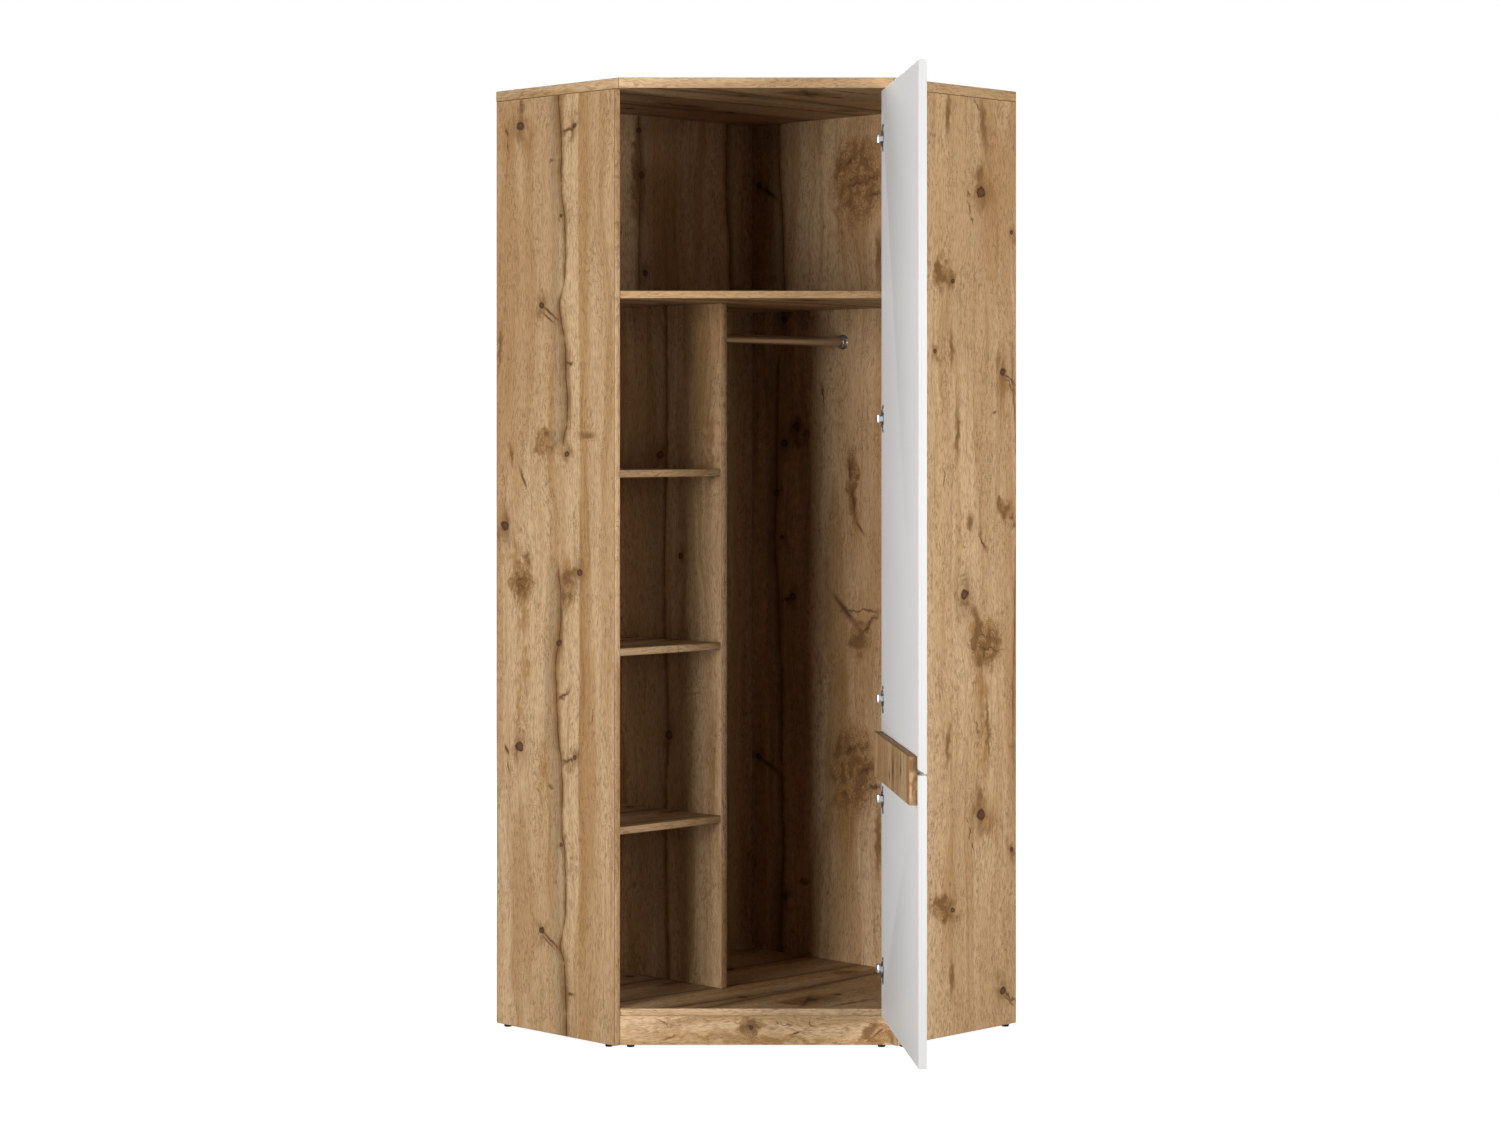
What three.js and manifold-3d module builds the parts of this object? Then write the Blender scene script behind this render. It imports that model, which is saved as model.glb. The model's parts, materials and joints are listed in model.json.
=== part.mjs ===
// Corner wardrobe: five-sided carcass for a room corner, with one tall door across the corner.
// Millimetres, +Z up. In plan the outer planes of the two side panels cross at zero: x runs
// along the room wall behind the shelves, y along the room wall behind the hanging space,
// and the door looks out along (-1, -1). Heights count from the floor.
import * as THREE from "three";
import { mergeVertices } from "three/addons/utils/BufferGeometryUtils.js";
import Module from "manifold-3d";

const wasm = await Module();
wasm.setup();

// Carcass sizes
const wallLeg = 790;
const sideDepth = 376;
const bodyHeight = 2000;
const board = 16;
const topBoard = 22;
const backSheet = 3;
const backSheetInset = 1;
const plinthHeight = 60;

// Glides that are nailed under the boards
const glide = {
  height: 5,
  radius: 8,
  footRadius: 6.8,
  footChamfer: 1.2,
  frontInset: 25,
  rearInset: 27,
  plinthInset: 21.4,
  rearPlinthInset: 189,
};

// Inner fittings
const mainShelfHeight = 1545;
const partitionPlace = 329;
const partitionSetback = 19;
const shelfSetback = 22;
const shelfEndGap = 0.5;
const shelfNames = ["lower", "middle", "upper"];
const pin = {
  headRadius: 3.5,
  headLength: 7,
  headRounding: 1.2,
  stemRadius: 2.5,
  stemLength: 8,
  holeClearance: 0.15,
  holeSpareDepth: 1,
  inset: 29,
};

// Hanging rail and its two end sockets
const rail = {
  radius: 10,
  wall: 1.2,
  belowShelf: 73,
  setback: 64,
};
const socket = {
  fit: 0.4,
  wall: 2.4,
  depth: 12,
  flangeRadius: 17,
  flangeThickness: 2,
  mouthLip: 1,
};

// Door of two fronts, joined inside by the handle strip
const door = {
  edgeInset: 1.4,
  thickness: 16,
  gap: 4,
  plinthOverlap: 0.5,
  lowerTop: 615.5,
  jointGap: 2.5,
  jointChamfer: 9,
  opening: 95,
};
const strip = {
  bottom: 558.5,
  height: 93,
  thickness: 16,
  endInset: 15,
};
const seatGap = 0.3;

// Concealed corner hinges
const hinge = {
  endInset: 100,
  underStripInset: 104.5,
  shelfClearance: 4,
  cupInset: 22.5,
  cupRadius: 17.2,
  cupWall: 0.8,
  cupDepth: 12.7,
  rimRadius: 19,
  rimThickness: 1.2,
  lobeSpan: 57,
  lobeRadius: 7.5,
  lobeOffset: 7,
  pivotInset: 9.5,
  pivotDepth: 10.7,
  pinRadius: 1,
  pinPlay: 0.2,
  pinHalfLength: 7.2,
  earGap: 0.4,
  earThickness: 2,
  earReach: 3,
  earCover: 1.4,
  linkHalfHeight: 5,
  linkThickness: 1.2,
  linkLength: 16,
};
const arm = {
  halfHeight: 8,
  thickness: 2.4,
  neckReach: 21.5,
  neckHeel: 2.5,
  neckBend: 5,
  neckRise: 17,
  shoulder: 3.5,
  frontInset: 6,
  length: 54,
  channelHeight: 8,
  channelLift: 3,
  channelWall: 2,
  channelNose: 14,
};
const plate = {
  setback: 37,
  baseThickness: 2,
  baseWidth: 20,
  baseHeight: 50,
  riserHalfHeight: 5.5,
  riserFront: 15,
  riserBack: 19,
};

const roundSides = { cup: 40, glide: 24, pin: 12, rail: 32, small: 16 };
const overrun = 1;

// Heights and plan places worked out from the sizes
const bodyBottom = glide.height;
const sideTop = bodyBottom + bodyHeight - topBoard;
const sideFront = wallLeg - sideDepth;
const backFace = wallLeg - backSheet;
const rightBackFace = wallLeg - board;
const innerFrontLine = sideFront + board;
const bottomUnderside = bodyBottom + plinthHeight;
const bottomTop = bottomUnderside + board;
const mainShelfUnderside = bodyBottom + mainShelfHeight;
const partitionFront = sideFront + partitionSetback;
const partitionRight = partitionPlace + board;
const shelfFront = sideFront + shelfSetback;
const doorDepthBehindCorners = board * Math.SQRT1_2 - door.gap;
const topOverhang = door.thickness - doorDepthBehindCorners;
const topFront = sideFront - topOverhang * Math.SQRT2;
const openingWidth = (innerFrontLine - 2 * board) * Math.SQRT2;
const doorWidth = openingWidth - 2 * door.edgeInset;

// Materials
const oak = new THREE.MeshStandardMaterial({ color: 0xc39a68, roughness: 0.6, metalness: 0 });
const white = new THREE.MeshStandardMaterial({ color: 0xf4f4f2, roughness: 0.25, metalness: 0 });
const steel = new THREE.MeshStandardMaterial({ color: 0xc8c9cb, roughness: 0.25, metalness: 1 });
const railMetal = new THREE.MeshStandardMaterial({ color: 0xb9b2aa, roughness: 0.3, metalness: 1 });
const black = new THREE.MeshStandardMaterial({ color: 0x141414, roughness: 0.55, metalness: 0 });

// The door plane stands square to the line between the two walls. A point is given by its
// distance to the right of the middle and its distance behind the outer front corners.
const frontMiddle = new THREE.Vector2(sideFront / 2, sideFront / 2);
const toTheRight = new THREE.Vector2(Math.SQRT1_2, -Math.SQRT1_2);
const toTheBack = new THREE.Vector2(Math.SQRT1_2, Math.SQRT1_2);
function acrossCorner(right, back) {
  return frontMiddle.clone().addScaledVector(toTheRight, right).addScaledVector(toTheBack, back);
}
const diagonalTurn = -Math.PI / 4;

const hingeEdge = doorWidth / 2;
const pivotRight = hingeEdge - hinge.pivotInset;
const pivotBack = doorDepthBehindCorners - hinge.pivotDepth;
const pivot = acrossCorner(pivotRight, pivotBack);

// Shapes
function block(low, high) {
  const size = high.map((value, axis) => value - low[axis]);
  const geometry = new THREE.BoxGeometry(...size);
  return geometry.translate(...low.map((value, axis) => value + size[axis] / 2));
}

function prism(outline, low, high) {
  const shape = new THREE.Shape(outline.map((point) => new THREE.Vector2(point.x, point.y)));
  const settings = { depth: high - low, bevelEnabled: false };
  return new THREE.ExtrudeGeometry(shape, settings).translate(0, 0, low);
}

function upright(radius, low, high, sides) {
  const geometry = new THREE.CylinderGeometry(radius, radius, high - low, sides);
  return geometry.rotateX(Math.PI / 2).translate(0, 0, (low + high) / 2);
}

function turned(profile, sides) {
  const points = profile.map(([radius, height]) => new THREE.Vector2(radius, height));
  return new THREE.LatheGeometry(points, sides).rotateX(Math.PI / 2);
}

function band(path, thickness) {
  const left = [];
  const right = [];
  path.forEach((point, index) => {
    const before = path[Math.max(index - 1, 0)];
    const after = path[Math.min(index + 1, path.length - 1)];
    const from = point.clone().sub(before).normalize();
    const to = after.clone().sub(point).normalize();
    const along = from.clone().add(to).normalize();
    const stretch = 1 / Math.max(along.dot(index > 0 ? from : to), Math.SQRT1_2);
    const side = new THREE.Vector2(-along.y, along.x).multiplyScalar(thickness / 2 * stretch);
    left.push(point.clone().add(side));
    right.unshift(point.clone().sub(side));
  });
  return [...left, ...right].reverse();
}

// Joining and cutting
function solidOf(geometry) {
  const bare = new THREE.BufferGeometry();
  bare.setAttribute("position", geometry.getAttribute("position"));
  bare.setIndex(geometry.getIndex());
  const welded = mergeVertices(bare);
  return new wasm.Manifold(new wasm.Mesh({
    numProp: 3,
    vertProperties: new Float32Array(welded.getAttribute("position").array),
    triVerts: new Uint32Array(welded.getIndex().array),
  }));
}

function geometryOf(solid) {
  const mesh = solid.getMesh();
  const geometry = new THREE.BufferGeometry();
  geometry.setAttribute("position", new THREE.BufferAttribute(mesh.vertProperties, 3));
  geometry.setIndex(new THREE.BufferAttribute(mesh.triVerts, 1));
  geometry.computeVertexNormals();
  return geometry;
}

function joined(geometries) {
  return geometries.map(solidOf).reduce((whole, piece) => whole.add(piece));
}

function cut(whole, tools) {
  return tools.map(solidOf).reduce((rest, tool) => rest.subtract(tool), whole);
}

function named(name, geometry, material) {
  const mesh = new THREE.Mesh(geometry, material);
  mesh.name = name;
  return mesh;
}

// Side panels, with the holes for the shelf pins
const pinRows = [shelfFront + pin.inset, backFace - pin.inset];
const bayHeight = (mainShelfUnderside - bottomTop - shelfNames.length * board)
  / (shelfNames.length + 1);
function shelfUnderside(index) {
  return bottomTop + (index + 1) * bayHeight + index * board;
}

function pinHole(face, inward, row, height) {
  const depth = pin.stemLength + pin.holeSpareDepth;
  const drill = upright(pin.stemRadius + pin.holeClearance, -overrun, depth, roundSides.pin);
  return drill.rotateY(inward * Math.PI / 2).translate(face, row, height);
}

function pinHoles(face, inward) {
  return shelfNames.flatMap((name, index) => pinRows.map((row) =>
    pinHole(face, inward, row, shelfUnderside(index) - pin.headRadius)));
}

function leftSide() {
  const panel = block([0, sideFront, bodyBottom], [board, backFace, sideTop]);
  return named("left_side", geometryOf(cut(solidOf(panel), pinHoles(board, -1))), oak);
}

function rightSide() {
  return named("right_side", block([sideFront, 0, bodyBottom], [wallLeg, board, sideTop]), oak);
}

// Boards with five corners: the corner towards the room is cut off square to the door
function fiveSided(name, frontLine, low, high, left, back, rightBack) {
  const outline = [
    { x: left, y: frontLine - left },
    { x: frontLine - left, y: left },
    { x: rightBack, y: left },
    { x: rightBack, y: back },
    { x: left, y: back },
  ];
  return named(name, prism(outline, low, high), oak);
}

function topPanel() {
  return fiveSided("top_panel", topFront, sideTop, sideTop + topBoard, 0, wallLeg, wallLeg);
}

function innerFloor(name, underside) {
  return fiveSided(name, innerFrontLine, underside, underside + board, board, backFace,
    rightBackFace);
}

function frontPlinth() {
  const backLine = innerFrontLine + board * Math.SQRT2;
  const outline = [
    { x: board, y: innerFrontLine - board },
    { x: innerFrontLine - board, y: board },
    { x: backLine - board, y: board },
    { x: board, y: backLine - board },
  ];
  return named("front_plinth", prism(outline, bodyBottom, bottomUnderside), oak);
}

function rearPlinth() {
  const low = [board, backFace - board, bodyBottom];
  return named("rear_plinth", block(low, [rightBackFace, backFace, bottomUnderside]), oak);
}

function leftBack() {
  const low = [backSheetInset, backFace, bodyBottom + backSheetInset];
  const high = [wallLeg - backSheetInset, wallLeg, sideTop];
  return named("left_back_sheet", block(low, high), oak);
}

function rightBack() {
  const low = [rightBackFace, board, bodyBottom];
  return named("right_back_panel", block(low, [wallLeg, backFace, sideTop]), oak);
}

// Partition and the three shelves beside it
function partition() {
  const panel = block([partitionPlace, partitionFront, bottomTop],
    [partitionRight, backFace, mainShelfUnderside]);
  return named("partition", geometryOf(cut(solidOf(panel), pinHoles(partitionPlace, 1))), oak);
}

function shelf(index) {
  const underside = shelfUnderside(index);
  const low = [board + shelfEndGap, shelfFront, underside];
  const high = [partitionPlace - shelfEndGap, backFace - shelfEndGap, underside + board];
  return named(`shelf_${shelfNames[index]}`, block(low, high), oak);
}

function shelfPin(name, face, inward, row, height) {
  const profile = [
    [0, pin.stemLength],
    [pin.stemRadius, pin.stemLength],
    [pin.stemRadius, 0],
    [pin.headRadius, 0],
    [pin.headRadius, pin.headRounding - pin.headLength],
    [pin.headRadius - pin.headRounding, -pin.headLength],
    [0, -pin.headLength],
  ];
  const geometry = turned(profile.reverse(), roundSides.pin).rotateY(inward * Math.PI / 2);
  const mesh = named(name, geometry, steel);
  mesh.position.set(face, row, height);
  return mesh;
}

function shelfPins(index) {
  const height = shelfUnderside(index) - pin.headRadius;
  return [["left", board, -1], ["right", partitionPlace, 1]].flatMap(([side, face, inward]) =>
    ["front", "rear"].map((end, row) => shelfPin(
      `pin_${shelfNames[index]}_${side}_${end}`, face, inward, pinRows[row], height)));
}

// Hanging rail, from the partition to the right back panel
const railPlace = partitionFront + rail.setback;
const railHeight = mainShelfUnderside - rail.belowShelf;

function hangingRail() {
  const from = partitionRight + socket.flangeThickness;
  const to = rightBackFace - socket.flangeThickness;
  const outside = upright(rail.radius, from, to, roundSides.rail);
  const bore = upright(rail.radius - rail.wall, from - overrun, to + overrun, roundSides.rail);
  const tube = geometryOf(cut(solidOf(outside), [bore])).rotateY(Math.PI / 2);
  const mesh = named("hanging_rail", tube, railMetal);
  mesh.position.set(0, railPlace, railHeight);
  return mesh;
}

function railSocket(name, face, towards) {
  const bore = rail.radius + socket.fit;
  const collar = bore + socket.wall;
  const profile = [
    [0, socket.flangeThickness],
    [bore, socket.flangeThickness],
    [bore, socket.depth],
    [collar - socket.mouthLip, socket.depth],
    [collar, socket.depth - socket.mouthLip],
    [collar, socket.flangeThickness],
    [socket.flangeRadius, socket.flangeThickness],
    [socket.flangeRadius, 0],
    [0, 0],
  ];
  const geometry = turned(profile.reverse(), roundSides.rail).rotateY(towards * Math.PI / 2);
  const mesh = named(name, geometry, steel);
  mesh.position.set(face, railPlace, railHeight);
  return mesh;
}

// Glides under the side panels, the plinths and the right back panel
function glideAt(name, place) {
  const profile = [
    [0, 0],
    [glide.footRadius, 0],
    [glide.radius, glide.footChamfer],
    [glide.radius, glide.height],
    [0, glide.height],
  ];
  const mesh = named(name, turned(profile, roundSides.glide), black);
  mesh.position.set(place.x, place.y, 0);
  return mesh;
}

function glides() {
  const half = board / 2;
  const plinthMiddle = (board * Math.SQRT2 + board) / 2;
  const plinthReach = openingWidth / 2 - glide.plinthInset;
  const rearRow = backFace - half;
  return [
    glideAt("glide_left_front", { x: half, y: sideFront + glide.frontInset }),
    glideAt("glide_left_rear", { x: half, y: backFace - glide.rearInset }),
    glideAt("glide_right_front", { x: sideFront + glide.frontInset, y: half }),
    glideAt("glide_right_rear", { x: wallLeg - glide.rearInset, y: half }),
    glideAt("glide_plinth_left", acrossCorner(-plinthReach, plinthMiddle)),
    glideAt("glide_plinth_right", acrossCorner(plinthReach, plinthMiddle)),
    glideAt("glide_back_left", { x: board + glide.rearPlinthInset, y: rearRow }),
    glideAt("glide_back_right", { x: rightBackFace - glide.rearPlinthInset, y: rearRow }),
    glideAt("glide_right_back", { x: wallLeg - half, y: (board + backFace) / 2 }),
  ];
}

// Door: its own group turns about the hinge pivots. Inside the group x runs from the pivots
// to the hinge edge, y from the pivots to the inner face, and heights count from the floor.
const doorBottom = bottomUnderside - door.plinthOverlap;
const lowerTop = bodyBottom + door.lowerTop;
const upperBottom = lowerTop + door.jointGap;
const doorTop = sideTop - door.gap;
const freeEdge = hinge.pivotInset - doorWidth;
const innerFace = hinge.pivotDepth;
const outerFace = innerFace - door.thickness;
const cupMiddle = hinge.pivotInset - hinge.cupInset;
const mainShelfMiddle = mainShelfUnderside + board / 2;
const hingeToShelf = (plate.baseHeight + board) / 2 + hinge.shelfClearance;
function clearOfMainShelf(height) {
  const above = height - mainShelfMiddle;
  const side = above < 0 ? -1 : 1;
  return mainShelfMiddle + side * Math.max(Math.abs(above), hingeToShelf);
}
const upperHinges = [
  doorTop - hinge.endInset,
  (doorTop + upperBottom) / 2,
  upperBottom + hinge.endInset,
].map(clearOfMainShelf);
const lowerHinges = [lowerTop - hinge.underStripInset, doorBottom + hinge.endInset];
const hingeHeights = [...upperHinges, ...lowerHinges];

function cupBore(height) {
  const depth = hinge.cupDepth + seatGap;
  const drill = new THREE.CylinderGeometry(hinge.cupRadius + seatGap, hinge.cupRadius + seatGap,
    depth + overrun, roundSides.cup);
  return drill.translate(cupMiddle, innerFace - depth + (depth + overrun) / 2, height);
}

function front(name, low, innerLow, high, heights) {
  const profile = [
    { x: outerFace, y: low },
    { x: innerFace, y: innerLow },
    { x: innerFace, y: high },
    { x: outerFace, y: high },
  ];
  const panel = prism(profile, freeEdge, hinge.pivotInset);
  panel.rotateX(Math.PI / 2).rotateZ(Math.PI / 2);
  return named(name, geometryOf(cut(solidOf(panel), heights.map(cupBore))), white);
}

function handleStrip() {
  const low = [freeEdge + strip.endInset, innerFace + seatGap, bodyBottom + strip.bottom];
  const high = [
    hinge.pivotInset - strip.endInset,
    innerFace + seatGap + strip.thickness,
    bodyBottom + strip.bottom + strip.height,
  ];
  return named("handle_strip", block(low, high), oak);
}

function facingIn(radius, low, high, sides) {
  return new THREE.CylinderGeometry(radius, radius, high - low, sides)
    .translate(0, (low + high) / 2, 0);
}

function hingeCup(number) {
  const floorOutside = innerFace - hinge.cupDepth;
  const floorInside = floorOutside + hinge.cupWall - hinge.pinPlay / 2;
  const rimBottom = innerFace + seatGap;
  const rimTop = rimBottom + hinge.rimThickness;
  const lobePlace = hinge.lobeSpan / 2 - hinge.lobeRadius;
  const bar = block([-hinge.lobeOffset - hinge.lobeRadius, rimBottom, -lobePlace],
    [hinge.lobeRadius - hinge.lobeOffset, rimTop, lobePlace]);
  const lobes = [-lobePlace, lobePlace].map((height) =>
    facingIn(hinge.lobeRadius, rimBottom, rimTop, roundSides.small)
      .translate(-hinge.lobeOffset, 0, height));
  const cup = facingIn(hinge.cupRadius, floorOutside, rimTop, roundSides.cup);
  const rim = facingIn(hinge.rimRadius, rimBottom, rimTop, roundSides.cup);
  const hollow = facingIn(hinge.cupRadius - hinge.cupWall, floorInside, rimTop + overrun,
    roundSides.cup);
  const shell = cut(joined([cup, rim, bar, ...lobes]), [hollow]);
  const earLow = hinge.linkHalfHeight + hinge.earGap;
  const earHigh = earLow + hinge.earThickness;
  const ears = [[-earHigh, -earLow], [earLow, earHigh]].map(([low, high]) =>
    block([-cupMiddle - hinge.earReach, floorOutside + hinge.cupWall / 2, low],
      [-cupMiddle + hinge.earReach, hinge.pinRadius + hinge.earCover, high]));
  const pinHoleTool = upright(hinge.pinRadius + hinge.pinPlay, -earHigh - overrun,
    earHigh + overrun, roundSides.small).translate(-cupMiddle, 0, 0);
  const earSolids = ears.map(solidOf).map((ear) => ear.subtract(solidOf(pinHoleTool)));
  const bounded = earSolids.map((ear) => ear.intersect(solidOf(cup)));
  const whole = bounded.reduce((sum, ear) => sum.add(ear), shell);
  const mesh = named(`hinge_${number}_cup`, geometryOf(whole), steel);
  mesh.position.set(cupMiddle, 0, hingeHeights[number - 1]);
  return mesh;
}

// Hinge arm: a flat link on the pivot pin, a neck that rounds the door's edge, and a channel
// that sits on the plate. It stands still, so it is placed in plan.
function fromPivot(right, back) {
  return acrossCorner(pivotRight + right, pivotBack + back);
}

const armFront = sideFront + arm.frontInset;
const armUnderside = board + arm.channelLift;
const armTop = armUnderside + arm.channelHeight;

function hingeArm(number) {
  const height = hingeHeights[number - 1];
  const around = (half) => [height - half, height + half];
  const pinPlace = fromPivot(0, 0);
  const pivotPin = upright(hinge.pinRadius, ...around(hinge.pinHalfLength), roundSides.small)
    .translate(pinPlace.x, pinPlace.y, 0);
  const link = prism(band([pinPlace, fromPivot(-hinge.linkLength, hinge.linkThickness / 2)],
    hinge.linkThickness), ...around(hinge.linkHalfHeight));
  const neckStart = hinge.linkLength - arm.thickness;
  const landing = new THREE.Vector2(armFront + arm.thickness, (armUnderside + armTop) / 2);
  const neck = prism(band([
    fromPivot(-neckStart, arm.thickness / 2),
    fromPivot(-arm.neckReach + arm.neckHeel, arm.thickness / 2),
    fromPivot(-arm.neckReach, arm.neckBend),
    fromPivot(-arm.neckReach, arm.neckRise),
    fromPivot(-arm.neckReach + arm.shoulder, arm.neckRise + arm.shoulder),
    landing,
  ], arm.thickness), ...around(arm.halfHeight));
  const [bottom, top] = around(arm.halfHeight);
  const channel = block([armFront, armUnderside, bottom], [armFront + arm.length, armTop, top]);
  const groove = block(
    [armFront + arm.channelNose, armUnderside - overrun, bottom + arm.channelWall],
    [armFront + arm.length + overrun, armTop - arm.channelLift, top - arm.channelWall]);
  const whole = cut(joined([channel, neck, link, pivotPin]), [groove]);
  return named(`hinge_${number}_arm`, geometryOf(whole), steel);
}

function hingePlate(number) {
  const height = hingeHeights[number - 1];
  const middle = sideFront + plate.setback;
  const baseTop = board + plate.baseThickness;
  const base = block(
    [middle - plate.baseWidth / 2, board, height - plate.baseHeight / 2],
    [middle + plate.baseWidth / 2, baseTop, height + plate.baseHeight / 2]);
  const riser = block(
    [middle - plate.riserFront, board, height - plate.riserHalfHeight],
    [middle + plate.riserBack, armTop - arm.channelLift, height + plate.riserHalfHeight]);
  return named(`hinge_${number}_plate`, geometryOf(joined([base, riser])), steel);
}

function doorGroup() {
  const group = new THREE.Group();
  const turn = diagonalTurn + THREE.MathUtils.degToRad(door.opening);
  group.position.set(pivot.x, pivot.y, 0);
  group.rotation.z = turn;
  group.add(
    front("upper_front", upperBottom, upperBottom + door.jointChamfer, doorTop, upperHinges),
    front("lower_front", doorBottom, doorBottom, lowerTop, lowerHinges),
    handleStrip(),
    ...hingeHeights.map((height, index) => hingeCup(index + 1)),
  );
  return group;
}

// The origin lies under the middle of the box round the part with its door open
function openDoorCorners() {
  const turn = diagonalTurn + THREE.MathUtils.degToRad(door.opening);
  return [innerFace, outerFace].map((face) =>
    new THREE.Vector2(freeEdge, face).rotateAround(new THREE.Vector2(), turn).add(pivot));
}

function origin() {
  const corners = openDoorCorners();
  const lowX = Math.min(0, ...corners.map((corner) => corner.x));
  const lowY = Math.min(0, ...corners.map((corner) => corner.y));
  return new THREE.Vector2((lowX + wallLeg) / 2, (lowY + wallLeg) / 2);
}

function wardrobe() {
  const whole = new THREE.Group();
  const middle = origin();
  whole.position.set(-middle.x, -middle.y, 0);
  whole.add(
    leftSide(),
    rightSide(),
    topPanel(),
    innerFloor("bottom_panel", bottomUnderside),
    innerFloor("main_shelf", mainShelfUnderside),
    frontPlinth(),
    rearPlinth(),
    leftBack(),
    rightBack(),
    partition(),
    ...shelfNames.map((name, index) => shelf(index)),
    ...shelfNames.flatMap((name, index) => shelfPins(index)),
    hangingRail(),
    railSocket("rail_socket_left", partitionRight, 1),
    railSocket("rail_socket_right", rightBackFace, -1),
    ...glides(),
    ...hingeHeights.map((height, index) => hingeArm(index + 1)),
    ...hingeHeights.map((height, index) => hingePlate(index + 1)),
    doorGroup(),
  );
  return whole;
}

export default wardrobe();
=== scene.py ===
# Corner wardrobe: the finish of its boards, fronts and fittings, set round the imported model.
import json
import math

import bmesh
import bpy
from mathutils import Matrix, Vector


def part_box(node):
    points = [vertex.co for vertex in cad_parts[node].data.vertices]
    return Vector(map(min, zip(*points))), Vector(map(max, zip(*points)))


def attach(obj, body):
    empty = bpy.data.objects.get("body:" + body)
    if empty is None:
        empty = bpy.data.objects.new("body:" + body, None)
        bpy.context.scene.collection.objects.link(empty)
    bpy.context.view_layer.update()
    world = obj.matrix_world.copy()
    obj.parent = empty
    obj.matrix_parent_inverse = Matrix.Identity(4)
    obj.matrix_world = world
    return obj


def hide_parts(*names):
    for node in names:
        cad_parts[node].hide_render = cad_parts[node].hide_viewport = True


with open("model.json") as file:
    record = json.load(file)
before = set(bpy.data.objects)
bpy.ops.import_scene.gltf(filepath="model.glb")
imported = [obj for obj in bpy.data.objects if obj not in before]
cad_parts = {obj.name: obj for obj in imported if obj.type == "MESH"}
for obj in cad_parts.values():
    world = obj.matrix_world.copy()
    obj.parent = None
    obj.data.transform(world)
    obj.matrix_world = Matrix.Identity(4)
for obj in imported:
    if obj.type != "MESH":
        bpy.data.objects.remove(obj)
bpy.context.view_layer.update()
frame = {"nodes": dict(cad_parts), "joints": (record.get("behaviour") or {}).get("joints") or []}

MM = 0.001
HALF = math.sqrt(0.5)
UP = Vector((0, 0, 1))
WALL_X = Vector((1, 0, 0))
WALL_Y = Vector((0, 1, 0))
TO_RIGHT = Vector((HALF, -HALF, 0))
TO_BACK = Vector((HALF, HALF, 0))

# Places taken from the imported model. Zero is where the outer planes of the side panels cross
left_low, left_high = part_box("left_side")
right_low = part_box("right_side")[0]
ZERO = Vector((left_low.x, right_low.y, left_low.z))
FRONT_MIDDLE = Vector(((left_low.x + right_low.x) / 2, (left_low.y + right_low.y) / 2, 0))
door_joint = frame["joints"][0]
PIVOT = Vector((door_joint["pos_m"][0], door_joint["pos_m"][1], 0))
DOOR_OPENING = -math.radians(door_joint["range_deg"][0])
DOOR_TURN = Matrix.Translation(PIVOT) @ Matrix.Rotation(DOOR_OPENING - math.pi / 4, 4, "Z")
DOOR_ALONG = DOOR_TURN.to_3x3() @ WALL_X
DOOR_INWARD = DOOR_TURN.to_3x3() @ WALL_Y


# Shader values as expressions

def arithmetic(operation, backwards=False):
    """An operator of Value that adds a Math node. Backwards, its own value comes last."""
    def apply(value, *others):
        numbers = (*others, value) if backwards else (value, *others)
        made = value.finish.node("Math", {"operation": operation}, dict(enumerate(numbers)))
        return Value(value.finish, made.outputs[0])
    return apply


class Value:
    """A number that varies over a surface."""

    def __init__(self, finish, socket):
        self.finish = finish
        self.socket = socket

    __add__ = __radd__ = arithmetic("ADD")
    __sub__ = arithmetic("SUBTRACT")
    __rsub__ = arithmetic("SUBTRACT", backwards=True)
    __mul__ = __rmul__ = arithmetic("MULTIPLY")
    __truediv__ = arithmetic("DIVIDE")
    __rtruediv__ = arithmetic("DIVIDE", backwards=True)
    __pow__ = arithmetic("POWER")
    __abs__ = arithmetic("ABSOLUTE")
    exponential = arithmetic("EXPONENT")
    larger = arithmetic("MAXIMUM")
    smaller = arithmetic("MINIMUM")
    rounded = arithmetic("ROUND")

    def __neg__(self):
        return self * -1.0

    def between(self, low, high):
        """0 below low and 1 above high, with a soft step between them."""
        sockets = {"Value": self, "From Min": low, "From Max": high}
        settings = {"interpolation_type": "SMOOTHSTEP"}
        made = self.finish.node("MapRange", settings, sockets)
        return Value(self.finish, made.outputs[0])


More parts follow.
